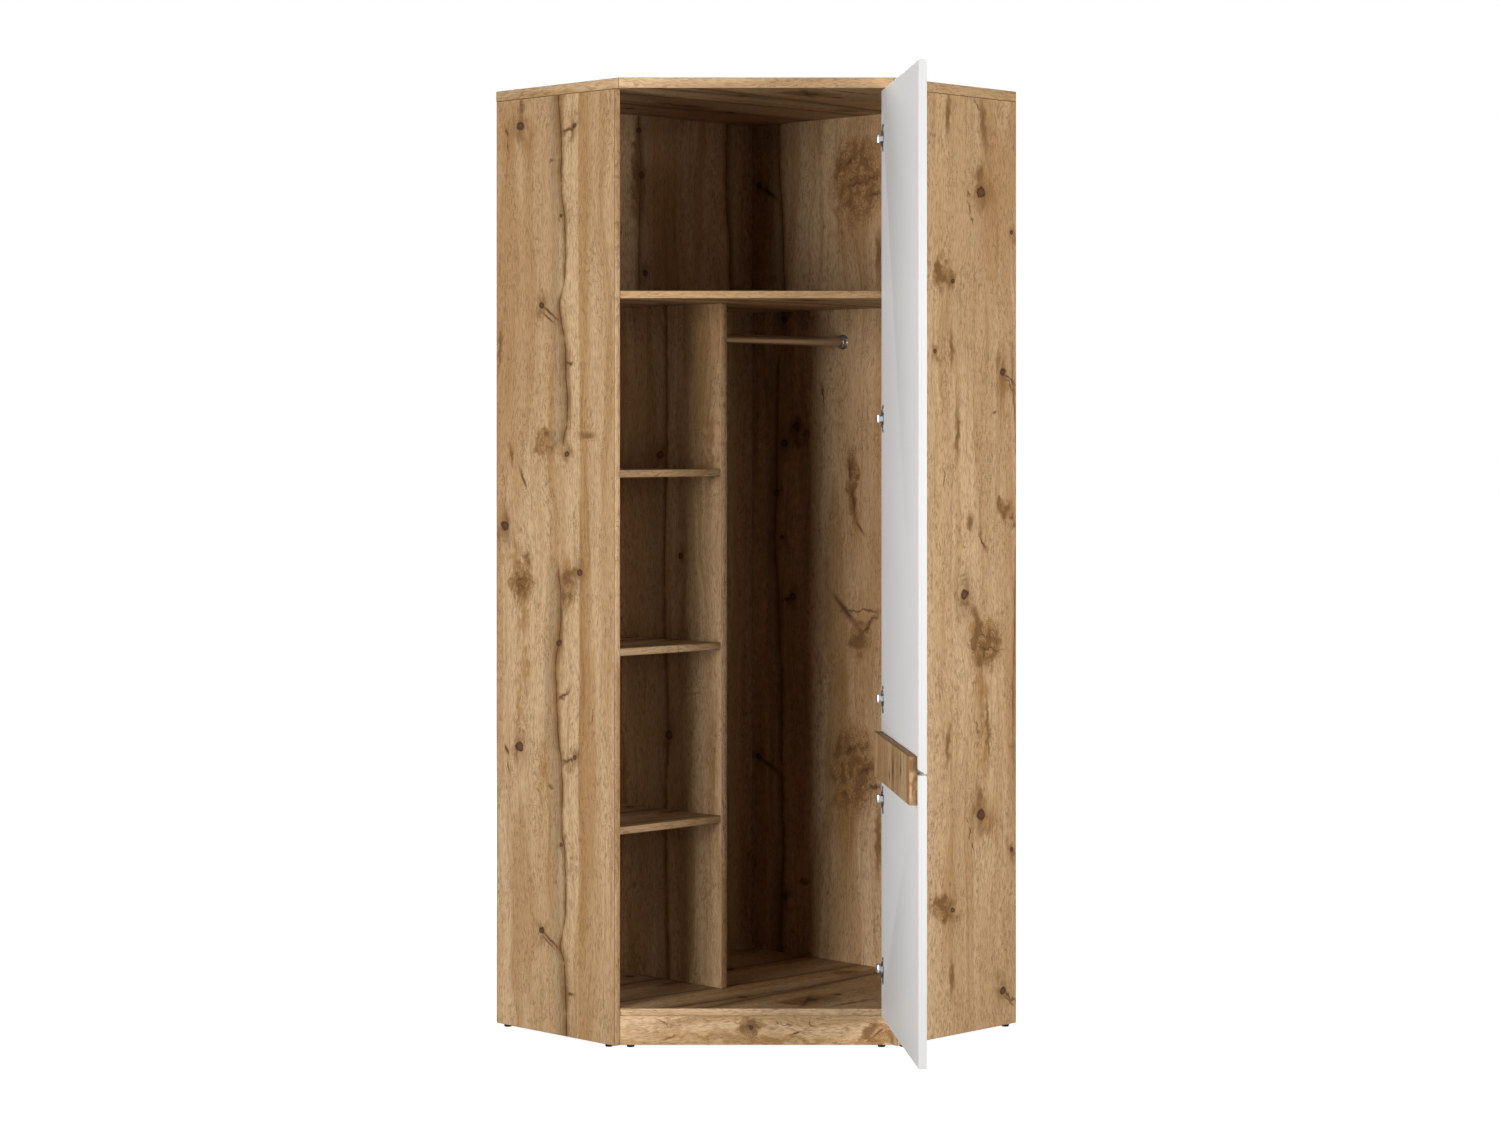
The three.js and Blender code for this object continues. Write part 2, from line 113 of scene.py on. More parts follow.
class Finish:
    """The nodes of a material, or of the room's light."""

    def __init__(self, name, library=bpy.data.materials):
        self.made = library.new(name)
        self.made.use_nodes = True
        self.tree = self.made.node_tree
        self.tree.nodes.clear()

    def node(self, kind, settings=None, sockets=None):
        made = self.tree.nodes.new("ShaderNode" + kind)
        for key, value in (settings or {}).items():
            if key == "points":
                self.bend(made.mapping, value)
            else:
                setattr(made, key, value)
        for key, value in (sockets or {}).items():
            self.feed(made.inputs[key], value)
        return made

    def feed(self, socket, value):
        if isinstance(value, Value):
            value = value.socket
        if isinstance(value, bpy.types.NodeSocket):
            self.tree.links.new(value, socket)
        else:
            socket.default_value = value

    def bend(self, mapping, points):
        """Draws a curve through points that are given from left to right."""
        line = mapping.curves[0].points
        line[0].location, line[-1].location = points[0], points[-1]
        for point in points[1:-1]:
            line.new(*point)
        mapping.update()

    def path(self, along, points, column):
        """One column of a row of points, in mm, at each place along it."""
        start, end = points[0][0], points[-1][0]
        steps = [((one[0] - start) / (end - start), one[column] * MM) for one in points]
        share = (along - start) / (end - start)
        made = self.node("FloatCurve", {"points": steps}, {"Value": share})
        return Value(self, made.outputs[0]) / MM

    def vector(self, operation, *numbers):
        made = self.node("VectorMath", {"operation": operation}, dict(enumerate(numbers)))
        return made.outputs

    def distances(self, *directions):
        """Millimetres along each direction, from where the outer planes of the sides cross."""
        spot = self.node("TexCoord").outputs["Object"]
        place = self.vector("SUBTRACT", spot, ZERO[:])[0]
        dots = [self.vector("DOT_PRODUCT", place, tuple(way / MM)) for way in directions]
        return [Value(self, dot["Value"]) for dot in dots]

    def spread(self, x, y, z=0.0):
        return self.node("CombineXYZ", None, {0: x, 1: y, 2: z}).outputs[0]

    def noise(self, x, y, z=0.0, detail=2.0, rough=0.5):
        spot = self.spread(x, y, z)
        sockets = {"Vector": spot, "Scale": 1.0, "Detail": detail, "Roughness": rough}
        return Value(self, self.node("TexNoise", None, sockets).outputs[0])

    def spot(self, place, u, v, half_u, half_v, turn=0.0):
        """How far a place is from the middle of an oval, in steps of the oval's half sizes."""
        sockets = {"Vector": place, "Location": (u, v, 0), "Rotation": (0, 0, turn),
                   "Scale": (half_u, half_v, 1)}
        local = self.node("Mapping", {"vector_type": "TEXTURE"}, sockets).outputs[0]
        return Value(self, self.vector("LENGTH", local)["Value"])

    def stroke(self, place, start_u, start_v, end_u, end_v, width):
        """The same for a slim oval that runs from one point to another."""
        du, dv = end_u - start_u, end_v - start_v
        return self.spot(place, (start_u + end_u) / 2, (start_v + end_v) / 2,
                         math.hypot(du, dv) / 2, width * STROKE_HALF, math.atan2(dv, du))

    def nearest(self, shape, place, marks):
        return least([shape(place, *mark) for mark in marks])

    def mix(self, base, over, share):
        settings = {"data_type": "RGBA", "blend_type": "MIX"}
        made = self.node("Mix", settings, {0: share, 6: base, 7: over})
        return made.outputs[2]

    def bump(self, height, distance, strength):
        sockets = {"Height": height, "Distance": distance, "Strength": strength}
        return self.node("Bump", None, sockets).outputs[0]

    def surface(self, sockets):
        shader = self.node("BsdfPrincipled", None, sockets)
        self.node("OutputMaterial", None, {0: shader.outputs[0]})
        return self.made

    def seen_and_lit(self, seen, lit, output):
        """The camera sees one shader, and every other ray meets the other."""
        camera_ray = self.node("LightPath").outputs["Is Camera Ray"]
        sockets = {0: camera_ray, 1: lit.outputs[0], 2: seen.outputs[0]}
        choice = self.node("MixShader", None, sockets)
        self.node(output, None, {0: choice.outputs[0]})


def least(values):
    lowest = values[0]
    for value in values[1:]:
        lowest = lowest.smaller(value)
    return lowest


def bell(distance):
    """1 in the middle of a spot and 0 far from it."""
    return (-(distance * distance)).exponential()


def paint(red, green, blue):
    """A colour as a paint chart gives it, from 0 to 255, turned into light."""
    def light(part):
        part = part / 255
        return part / 12.92 if part <= 0.04045 else ((part + 0.055) / 1.055) ** 2.4
    return (light(red), light(green), light(blue), 1.0)


# Oak decor
OAK_CREAM = paint(195, 164, 126)
OAK_TAN = paint(179, 146, 107)
OAK_WARM = paint(158, 118, 72)
OAK_GREY = paint(156, 135, 106)
OAK_BROWN = paint(122, 87, 49)
OAK_PORE = paint(103, 73, 45)
OAK_CRACK = paint(81, 54, 29)
OAK_KNOT = paint(71, 40, 24)

# Figures of the print: width and length in mm, seed, detail and roughness
BANDS = (80, 1300, 1.7, 2.0)
HEART = (62, 1000, 23.0)
GROWTH = (10, 320, 5.3, 3.0, 0.6)
GRAIN = (3.0, 24, 7.9, 2.0, 0.6)
CURL = (24, 30, 3.1)
PORES = (2.8, 12, 11.3, 0.0)
FLECKS = (13, 5.5, 13.7)
PATCHES = (45, 110, 17.1)

# How far the print strays from straight lines, in mm, and its figure as above
SLOW_DRIFT = (70, 150, 420, 0)
QUICK_DRIFT = (13, 34, 95, 29.0)
FIBRE_STRAY = (9, 15, 24, 31.0)
SWAY = (62, 24, 32, 41.0, 2.0)
TEAR = (24, 16, 22, 19.0, 2.0)

BIG_KNOT = 8
STROKE_HALF = 0.8


class Oak(Finish):
    """Knotty oak print. Its marks lie at (across, along), in mm."""

    def __init__(self, name, along, across, seed):
        super().__init__(name)
        self.seed = seed
        self.u, self.v = self.distances(across, along)

    def figure(self, across, width, length, seed, detail=1.0, rough=0.5):
        return self.noise(across / width, self.v / length, self.seed + seed, detail, rough)

    def stray(self, reach, *figure):
        return (self.figure(self.u, *figure) - 0.5) * reach

    def cover(self, tone, share):
        self.colour = self.mix(self.colour, tone, share)

    def dent(self, tone, mark, share):
        self.cover(tone, mark * share)
        self.dents = self.dents.larger(mark)


def crack_lines(oak, cracks, growth, grain, fray):
    """Lays the grey stripe and the brown glow beside each crack, and gives the cracks' lines."""
    wobble = oak.noise(oak.v / 34, oak.seed, 0.0, 3.0) - 0.5
    depth = oak.noise(oak.v / 60, oak.seed + 2.0, 0.0, 3.0, 0.65)
    lines = []
    for points in cracks:
        off = oak.u - oak.path(oak.v, points, 1) - wobble * 10
        width = oak.path(oak.v, points, 2)
        reach = width.between(0.2, 1.2)
        stripe = 1 - abs(off - 19 + wobble * 26).between(8, 27)
        oak.cover(OAK_GREY, stripe * reach * (growth * 0.8 + grain * 0.4))
        near = bell((off - 1.5) / (width * (growth * 6 + 2.2))) * reach
        oak.cover(OAK_BROWN, (near * depth * 1.9).smaller(0.9))
        slit = abs(off + fray * 0.8) / (width * (depth * 4.2 - 0.9))
        lines.append((1 - slit.between(0.2, 1.0)) * reach * depth.between(0.28, 0.46))
    return lines


def lay_grain(oak, fibre, growth, grain):
    pores = oak.figure(fibre, *PORES)
    flecks = oak.figure(oak.u, *FLECKS)
    patches = oak.figure(oak.u, *PATCHES)
    oak.cover(OAK_BROWN, growth.between(0.48, 0.78) * 0.42)
    oak.cover(OAK_BROWN, grain.between(0.42, 0.68) * 0.42)
    oak.dents = pores.between(0.56, 0.70) * patches.between(0.20, 0.60)
    oak.cover(OAK_PORE, oak.dents * 0.38)
    squiggle = (1 - abs(flecks - 0.5).between(0.0, 0.03)) * patches.between(0.52, 0.60)
    oak.cover(OAK_BROWN, squiggle * 0.55)


def oak_decor(name, along, across, seed, knots=(), burls=(), cracks=(), stains=(), zones=(),
              smears=(), checks=()):
    """Knots are (across, along, radius), burls and stains (across, along, half width, half
    length), smears and checks (across, along, across, along, width), and zones (lowest and
    highest across, how soft each of these edges is, strength). A crack is a row of points
    (along, across, width)."""
    oak = Oak(name, along, across, seed)
    u, v = oak.u, oak.v
    sway = oak.stray(*SWAY)
    tear = oak.stray(*TEAR)
    flat = oak.spread(u, v)
    swayed = oak.spread(u + sway, v - sway * 1.4)
    torn = oak.spread(u + tear, v + tear)

    # The fibre runs round the large knots and the burls
    drift = u + oak.stray(*SLOW_DRIFT) + oak.stray(*QUICK_DRIFT)
    for knot_u, knot_v, size in knots:
        if size >= BIG_KNOT:
            pull = bell(oak.spot(flat, knot_u, knot_v, size * 2.2, size * 5))
            drift = drift - (u - knot_u) * pull * 0.8
    from_burls = [oak.spot(swayed, *burl) for burl in burls]
    for burl, distance in zip(burls, from_burls):
        drift = drift - (u - burl[0]) * bell(distance) * 0.85
    fibre = drift + oak.stray(*FIBRE_STRAY)
    bands = oak.figure(drift, *BANDS)
    growth = oak.figure(drift, *GROWTH)
    grain = oak.figure(fibre, *GRAIN)
    fray = (grain - 0.5) * 2.2

    # Soft fields of colour
    oak.colour = oak.mix(OAK_TAN, OAK_CREAM, bands.between(0.40, 0.58))
    oak.cover(OAK_WARM, oak.figure(drift, *HEART).between(0.54, 0.59) * 0.48)
    for low, high, low_soft, high_soft, strength in zones:
        wavy = u + (bands - 0.5) * 26
        zone = wavy.between(low, low + low_soft) * (1 - wavy.between(high - high_soft, high))
        oak.cover(OAK_WARM, zone * (growth + 0.5) * strength)
    if stains:
        stain = bell(oak.nearest(oak.spot, swayed, stains))
        oak.cover(OAK_WARM, stain * (growth * 1.1 + 0.35))
    if burls:
        away = least(from_burls)
        burl = bell(away)
        curl = oak.figure(u, *CURL)
        oak.cover(OAK_WARM, burl.between(0.02, 0.45) * 0.80)
        oak.cover(OAK_BROWN, burl.between(0.10, 0.70) * curl.between(0.44, 0.58))
    lines = crack_lines(oak, cracks, growth, grain, fray)
    if smears:
        smear = oak.nearest(oak.stroke, torn, smears) + fray * 0.5
        oak.cover(OAK_BROWN, 1 - smear.between(0.2, 1.5))
    if checks:
        check = oak.nearest(oak.stroke, torn, checks) + fray * 0.5
        oak.cover(OAK_BROWN, (1 - check.between(0.4, 2.4)) * 0.75)
    if knots:
        halos = [(knot_u, knot_v, size * 2.2, size * 4) for knot_u, knot_v, size in knots]
        halo = bell(oak.nearest(oak.spot, swayed, halos))
        oak.cover(OAK_BROWN, halo * (growth * 1.1 + 0.3))

    # Grain over them, then the dark lines and the hearts of the knots
    lay_grain(oak, fibre, growth, grain)
    if burls:
        turns = away * 7 + curl * 9 + grain * 0.9
        hairs = 1 - abs(turns - turns.rounded()).between(0.05, 0.32)
        oak.cover(OAK_CRACK, hairs * burl.between(0.03, 0.40) * 0.55)
    for line in lines:
        oak.dent(OAK_CRACK, line, 0.92)
    if checks:
        oak.dent(OAK_CRACK, 1 - check.between(0.2, 1.3), 0.85)
    if knots:
        hearts = [(knot_u, knot_v, size, size * 0.9) for knot_u, knot_v, size in knots]
        heart = oak.nearest(oak.spot, flat, hearts) + tear * 0.07 + fray * 0.4
        core = 1 - heart.between(0.95, 1.35)
        oak.dent(OAK_KNOT, core, (heart * 0.40 + 0.62).smaller(0.97))

    return oak.surface({
        "Base Color": oak.colour,
        "Roughness": grain * 0.10 + oak.dents * 0.12 + 0.52,
        "Specular IOR Level": 0.3,
        "Normal": oak.bump(grain * 0.35 - oak.dents, 0.00012, 0.55),
    })


# The other finishes
def white_foil(name, low_tone, high_tone):
    foil = Finish(name)
    across, height = foil.distances(DOOR_ALONG, UP)
    cloud = foil.noise(across / 240, height / 240, 4.0, 2.0)
    peel = foil.noise(across / 2.4, height / 2.4, 9.0, 1.0)
    return foil.surface({
        "Base Color": foil.mix(low_tone, high_tone, cloud),
        "Roughness": 0.42 + cloud * 0.08,
        "Specular IOR Level": 0.2,
        "Normal": foil.bump(peel, 0.000006, 0.3),
    })


def metal(name, low_tone, high_tone, smooth, brush):
    """Brush is the height of the brushed lines, in mm."""
    plate = Finish(name)
    x, y, z = plate.distances(WALL_X, WALL_Y, UP)
    spots = plate.noise(x / 3, y / 3, z / 3, 3.0)
    lines = plate.noise((x + y) / 18, z / brush, 2.0, 2.0)
    return plate.surface({
        "Base Color": plate.mix(low_tone, high_tone, spots),
        "Metallic": 1.0,
        "Roughness": smooth + lines * 0.12 + spots * 0.06,
        "Normal": plate.bump(lines, 0.00001, 0.5),
    })


def black_plastic(name):
    plastic = Finish(name)
    x, y, z = plastic.distances(WALL_X, WALL_Y, UP)
    mould = plastic.noise(x / 0.8, y / 0.8, z / 0.8, 2.0)
    return plastic.surface({
        "Base Color": plastic.mix(paint(9, 9, 10), paint(20, 20, 21), mould),
        "Roughness": 0.52 + mould * 0.2,
        "Specular IOR Level": 0.25,
        "Normal": plastic.bump(mould, 0.00006, 0.6),
    })


def raw_fibreboard(name):
    board = Finish(name)
    x, z = board.distances(TO_RIGHT, UP)
    fibres = board.noise(x / 1.6, z / 1.6, 3.0, 3.0)
    clouds = board.noise(x / 90, z / 90, 5.0, 2.0)
    colour = board.mix(paint(122, 88, 58), paint(146, 110, 76), clouds)
    return board.surface({
        "Base Color": board.mix(colour, paint(92, 64, 42), fibres.between(0.5, 0.75) * 0.5),
        "Roughness": 0.62 + fibres * 0.15,
        "Normal": board.bump(fibres, 0.00008, 0.5),
    })


def band_rim_shade_line(name):
    """A thin dark line of painted shade where an edge band meets a board's face, standing in for
    the shade in the joints between boards.
    """
    rim = Finish(name)
    x, y, z = rim.distances(WALL_X, WALL_Y, UP)
    patches = rim.noise((x + y) / 6, z / 6, 1.0, 2.0)
    return rim.surface({
        "Base Color": rim.mix(OAK_BROWN, OAK_PORE, patches),
        "Roughness": 0.55 + patches * 0.1,
    })


# The decor of each board, with knots, cracks and figure where the boards show them
LEFT_SIDE = oak_decor(
    "oak_left_side", UP, WALL_Y, 1.0,
    knots=[(711, 1920, 10), (762, 1068, 10), (712, 598, 10), (642, 1537, 7), (642, 215, 7),
           (521, 975, 7), (586, 825, 7), (562, 1222, 6), (538, 1910, 5), (538, 587, 5),
           (579, 1724, 4), (579, 401, 4)],
    burls=[(628, 1247, 30, 22), (706, 955, 32, 38), (560, 945, 21, 36)],
    cracks=[[(-40, 562, 2.6), (80, 565, 2.6), (130, 568, 2.6), (160, 572, 2.6),
             (185, 582, 2.2), (215, 575, 0.8), (250, 568, 1.2), (380, 568, 1.4),
             (430, 576, 1.6), (540, 577, 2.0), (580, 580, 2.4), (620, 588, 2.4),
             (700, 593, 2.2), (790, 596, 2.0), (830, 586, 2.2), (900, 580, 2.0),
             (950, 584, 1.8), (1010, 590, 0.3), (1080, 586, 0), (1230, 572, 0),
             (1262, 570, 2.4), (1285, 562, 2.8), (1350, 561, 2.8), (1400, 565, 2.8),
             (1470, 570, 2.6), (1500, 580, 2.4), (1540, 584, 1.4), (1570, 574, 0.8),
             (1610, 567, 1.3), (1700, 568, 1.8), (1735, 571, 2.0), (1760, 577, 2.0),
             (1890, 580, 2.4), (1940, 585, 2.8), (1990, 589, 2.8)]],
    stains=[(690, 1885, 24, 34), (700, 875, 14, 60), (695, 760, 12, 60), (714, 690, 10, 60),
            (725, 1020, 14, 40), (560, 995, 14, 26), (755, 1900, 24, 60), (640, 560, 10, 60)],
    zones=[(466, 530, 46, 6, 0.75), (590, 625, 12, 12, 0.12)],
    smears=[(472, 1262, 524, 1260, 9), (600, 1842, 620, 1838, 6), (605, 520, 622, 522, 6),
            (704, 1985, 711, 1935, 11), (704, 925, 716, 962, 17), (742, 1245, 736, 1195, 9),
            (520, 985, 560, 965, 9), (770, 1500, 784, 1390, 7)],
    checks=[(642, 1537, 586, 1502, 3.2), (638, 1520, 604, 1500, 2.4), (642, 215, 585, 180, 3.2),
            (636, 200, 604, 182, 2.4), (712, 1190, 692, 1152, 3.6), (538, 1910, 574, 1895, 4.5),
            (538, 587, 572, 573, 4.5), (555, 726, 590, 702, 4.5), (696, 962, 728, 952, 2.8),
            (712, 950, 717, 928, 2.4), (690, 935, 722, 945, 2.2), (757, 1916, 753, 1906, 3.5),
            (752, 1892, 747, 1866, 2.2), (757, 596, 752, 582, 3.5), (752, 564, 748, 544, 2.2),
            (478, 692, 487, 664, 2.4), (545, 1414, 564, 1412, 4), (540, 92, 562, 90, 4)])
RIGHT_SIDE = oak_decor(
    "oak_right_side", UP, WALL_X, 2.0,
    knots=[(674, 1779, 11), (585, 1587, 6), (745, 1397, 8), (624, 925, 11), (674, 455, 11),
           (585, 263, 6), (745, 75, 8), (529, 1438, 5), (775, 1697, 5), (775, 373, 5)],
    burls=[(688, 822, 44, 46), (552, 1600, 28, 24), (550, 276, 28, 24), (757, 1104, 22, 20)],
    cracks=[[(380, 784, 0), (700, 779, 0.9), (900, 785, 0.9), (1300, 786, 0.9),
             (1370, 778, 0.9), (1520, 776, 0)]],
    stains=[(700, 1770, 26, 36), (700, 440, 26, 36), (676, 720, 20, 70), (688, 600, 14, 80),
            (655, 860, 14, 34), (745, 1360, 14, 60)],
    zones=[(500, 588, 60, 5, 0.25), (655, 700, 5, 30, 0.10)],
    smears=[(602, 1328, 598, 1212, 10), (574, 1990, 566, 1885, 10), (574, 660, 566, 560, 10),
            (674, 1985, 690, 1865, 15), (672, 1835, 672, 1800, 13), (672, 515, 672, 478, 13),
            (645, 905, 674, 850, 13), (656, 792, 684, 782, 17), (640, 1098, 642, 1058, 15),
            (536, 1615, 576, 1575, 8), (534, 292, 574, 254, 8), (580, 1490, 582, 1405, 10),
            (580, 165, 582, 80, 10), (700, 832, 744, 816, 12), (692, 720, 700, 560, 7)],
    checks=[(745, 1397, 790, 1370, 3.6), (754, 1384, 782, 1358, 2.8), (745, 75, 790, 46, 3.6),
            (754, 63, 782, 38, 2.8), (672, 1056, 690, 1020, 4), (655, 813, 736, 805, 3),
            (689, 807, 684, 787, 2.8), (664, 842, 690, 830, 3), (656, 652, 668, 630, 2.6),
            (658, 1975, 668, 1955, 2.6), (630, 1776, 636, 1767, 3.5), (635, 1753, 641, 1734, 2.4),
            (645, 1722, 650, 1709, 2.4), (630, 453, 636, 445, 3.5), (634, 432, 640, 411, 2.4),
            (646, 398, 651, 387, 2.4), (711, 1306, 724, 1312, 2.2), (555, 1190, 558, 1160, 2.2)])
LEFT_BACK = oak_decor(
    "oak_left_back", UP, WALL_X, 3.0,
    knots=[(417, 1945, 7), (423, 1845, 7), (435, 1625, 7), (482, 1215, 11), (545, 1430, 6),
           (530, 843, 11), (480, 905, 7), (515, 340, 7), (500, 190, 6), (495, 1020, 6)],
    burls=[(415, 1840, 16, 90), (490, 580, 14, 60)],
    cracks=[[(-20, 507, 2.2), (50, 505, 2.2), (180, 502, 2.2), (300, 490, 2.2),
             (620, 491, 2.2), (770, 497, 2.2), (860, 506, 2.4), (980, 506, 2.4),
             (1090, 494, 1.6), (1215, 484, 2.2), (1330, 500, 2.2), (1440, 503, 2.2),
             (1545, 500, 2.2), (1566, 600, 0), (1587, 702, 1.8), (1620, 702, 2.0),
             (1710, 701, 2.2), (1760, 694, 2.2), (1850, 690, 2.2), (1990, 694, 2.2)],
            [(1540, 418, 1.4), (1700, 416, 1.4), (1850, 420, 1.4), (1990, 414, 1.4)]],
    stains=[(500, 1750, 60, 300)],
    smears=[(410, 1935, 425, 1760, 16), (478, 1160, 512, 1150, 9), (530, 1420, 560, 1440, 7)])
RIGHT_BACK = oak_decor(
    "oak_right_back", UP, WALL_Y, 4.0,
    knots=[(682, 1527, 8), (645, 1283, 10), (682, 1243, 9), (707, 1130, 8), (655, 893, 8),
           (682, 205, 8), (690, 1028, 6), (765, 1840, 7), (765, 520, 7)],
    burls=[(448, 1838, 66, 84), (466, 508, 58, 80), (466, 1150, 13, 70), (446, 806, 28, 30),
           (640, 1262, 28, 30)],
    cracks=[[(0, 690, 2.2), (240, 690, 2.2), (300, 684, 2.2), (400, 688, 2.4),
             (600, 691, 2.2), (700, 690, 2.4), (800, 698, 2.2), (900, 702, 2.6),
             (1000, 712, 2.4), (1130, 708, 2.2), (1300, 705, 2.0), (1420, 700, 1.0),
             (1480, 692, 0), (1540, 684, 1.6), (1700, 686, 2.0), (1770, 689, 2.0),
             (1850, 697, 2.0), (1990, 700, 2.0)]],
    stains=[(485, 1745, 34, 110), (492, 420, 34, 100), (458, 1060, 14, 60), (500, 700, 20, 90)],
    smears=[(400, 1840, 478, 1822, 12), (405, 520, 452, 505, 12), (424, 802, 472, 798, 18),
            (522, 898, 458, 835, 12), (387, 1720, 389, 1620, 13), (387, 440, 391, 270, 13),
            (500, 1900, 522, 1830, 9), (500, 600, 520, 530, 9), (600, 246, 642, 243, 9)],
    checks=[(398, 1843, 426, 1831, 5), (426, 1831, 480, 1820, 6), (383, 1802, 420, 1798, 5),
            (466, 1882, 487, 1869, 5), (403, 523, 452, 502, 6), (383, 480, 416, 474, 5),
            (456, 561, 492, 547, 5), (385, 870, 512, 869, 2.2), (390, 864, 442, 812, 6),
            (522, 898, 462, 842, 5), (655, 893, 696, 880, 5), (765, 1840, 706, 1806, 6),
            (765, 520, 706, 490, 6), (562, 1376, 556, 1328, 2.6), (478, 1218, 473, 1150, 6),
            (473, 1150, 458, 1072, 7), (458, 1072, 438, 1045, 3.5)])
PARTITION = oak_decor(
    "oak_partition", UP, WALL_Y, 5.0,
    knots=[(626, 1219, 8), (598, 609, 9), (560, 1000, 6)],
    cracks=[[(60, 598, 1.5), (500, 606, 1.5), (609, 600, 1.5), (900, 612, 1.5),
             (1295, 604, 1.5), (1600, 608, 1.5)]],
    stains=[(470, 1250, 14, 140), (462, 560, 14, 160)],
    zones=[(455, 500, 20, 20, 0.30)])
LEVEL_BOARDS = oak_decor(
    "oak_level_boards", WALL_X, WALL_Y, 6.0,
    knots=[(205, 372, 12), (210, 455, 6), (600, 520, 9), (690, 300, 8), (328, 288, 10)],
    burls=[(205, 360, 34, 54), (375, 670, 34, 30), (560, 330, 18, 70)],
    cracks=[[(-20, 352, 3.0), (150, 340, 3.4), (300, 330, 2.6), (480, 322, 3.4),
             (620, 332, 2.4), (820, 352, 3.2)],
            [(20, 286, 0), (120, 290, 2.4), (320, 304, 1.8), (500, 313, 2.4),
             (660, 330, 1.6), (820, 345, 2.2)],
            [(-20, 470, 2.0), (200, 462, 1.4), (420, 446, 2.0), (820, 440, 1.6)],
            [(-20, 610, 1.4), (300, 622, 2.0), (560, 604, 1.2), (820, 612, 1.8)]],
    stains=[(405, 480, 20, 230), (440, 500, 16, 260), (300, 300, 26, 200)],
    smears=[(350, 120, 330, 260, 12), (235, 300, 150, 320, 12), (120, 330, 118, 470, 10)],
    checks=[(168, 306, 236, 398, 8), (212, 440, 216, 470, 5), (228, 320, 234, 400, 3)])
PLINTH = oak_decor(
    "oak_plinth", TO_RIGHT, UP, 7.0,
    knots=[(36, -11, 4)],
    burls=[(37, -11, 16, 26), (18, 250, 24, 34)],
    stains=[(20, -140, 10, 120), (8, 40, 8, 160)],
    checks=[(52, -200, 40, -180, 1.4), (48, 40, 38, 70, 1.4), (50, 110, 36, 120, 1.8),
            (12, -190, 18, -170, 1.6), (22, 70, 30, 95, 1.6), (14, 240, 34, 262, 2.4)])
STRIP = oak_decor(
    "oak_handle_strip", UP, DOOR_ALONG, 8.0,
    stains=[(-110, 610, 30, 60), (-250, 600, 16, 60)],
    checks=[(-32, 626, -34, 582, 12), (20, 600, 21, 575, 7), (-150, 640, -152, 600, 8)])
STRIP_EDGE = oak_decor(
    "oak_strip_edge", UP, DOOR_INWARD, 11.0,
    burls=[(-276, 628, 8, 26)],
    stains=[(-276, 590, 9, 60)],
    smears=[(-281, 634, -281, 618, 3), (-271, 645, -272, 634, 3), (-275, 598, -276, 574, 2)])
# The rounded edges of the boards take this thin dark line of painted shade
RIM = band_rim_shade_line("oak_rim_painted_shade")
# The front edge of the main shelf is darker than that of the top: its zone is painted shade, as
# the shelf stands further back than the top
LEVEL_EDGE = oak_decor("oak_level_edge", TO_RIGHT, UP, 9.0,
                       zones=[(1520, 1586, 4, 4, 0.5)])
UPRIGHT_EDGE = oak_decor("oak_upright_edge", UP, TO_RIGHT, 10.0)

WHITE = white_foil("white_foil", paint(222, 222, 220), paint(226, 226, 225))
# The door's edges take a darker copy of the white foil, painted shade that tones down the strong
# light the edges catch
WHITE_BAND_SHADED = white_foil("white_edge_band_painted_shade", paint(183, 183, 182), paint(187, 187, 186))
HINGE_STEEL = metal("nickel_plate", paint(212, 212, 214), paint(232, 232, 234), 0.38, 6)
CUP_STEEL = metal("nickel_cup", paint(132, 132, 135), paint(158, 158, 161), 0.34, 6)
ZINC = metal("zinc_plate", paint(176, 178, 182), paint(206, 208, 210), 0.22, 3)
RAIL_METAL = metal("rail_tube_metal", paint(172, 165, 158), paint(192, 185, 178), 0.30, 40)
BLACK = black_plastic("black_plastic")
FIBREBOARD = raw_fibreboard("raw_fibreboard")


# Meshes are drawn in millimetres: in plan from zero, with heights from the floor
PLAN = Matrix.Translation((ZERO.x, ZERO.y, 0)) @ Matrix.Scale(MM, 4)
DOOR = DOOR_TURN @ Matrix.Scale(MM, 4)


def span(node_name):
    """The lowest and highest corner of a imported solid."""
    low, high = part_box(node_name)
    shift = Vector((ZERO.x, ZERO.y, 0))
    return (low - shift) / MM, (high - shift) / MM


def middle(node_name):
    low, high = span(node_name)
    return (low + high) / 2


def line_through(node_name, depth, way=1):
    """The line along the wall through a piece's middle, counted from a depth."""
    spot = middle(node_name)
    return at(facing_x, spot.y, spot.z, depth, way)


# Where a drawing's two directions and its depth lie
def facing_x(a, b, depth):
    return Vector((depth, a, b))


def facing_y(a, b, depth):
    return Vector((a, depth, b))


def facing_up(a, b, depth):
    return Vector((a, b, depth))


def at(spot, a0, b0, depth0, way=1):
    """The same directions, counted from another point, and backwards in depth if way is -1."""
    return lambda a, b, depth: spot(a0 + a, b0 + b, depth0 + way * depth)


# Outlines
def rectangle(low_a, low_b, high_a, high_b):
    return [(low_a, low_b), (high_a, low_b), (high_a, high_b), (low_a, high_b)]


def rounded_rectangle(low_a, low_b, high_a, high_b, radius, steps=5):
    corners = [(high_a - radius, high_b - radius, 0), (low_a + radius, high_b - radius, 1),
               (low_a + radius, low_b + radius, 2), (high_a - radius, low_b + radius, 3)]
    points = []
    for a, b, quarter in corners:
        for step in range(steps + 1):
            turn = (quarter + step / steps) * math.pi / 2
            points.append((a + radius * math.cos(turn), b + radius * math.sin(turn)))
    return points


def star(count, reach):
    """Points round a middle that sees the whole outline, at the reach of each angle."""
    turns = [math.tau * index / count for index in range(count)]
    return [(reach(turn) * math.cos(turn), reach(turn) * math.sin(turn)) for turn in turns]


def circle(radius, count):
    return star(count, lambda turn: radius)


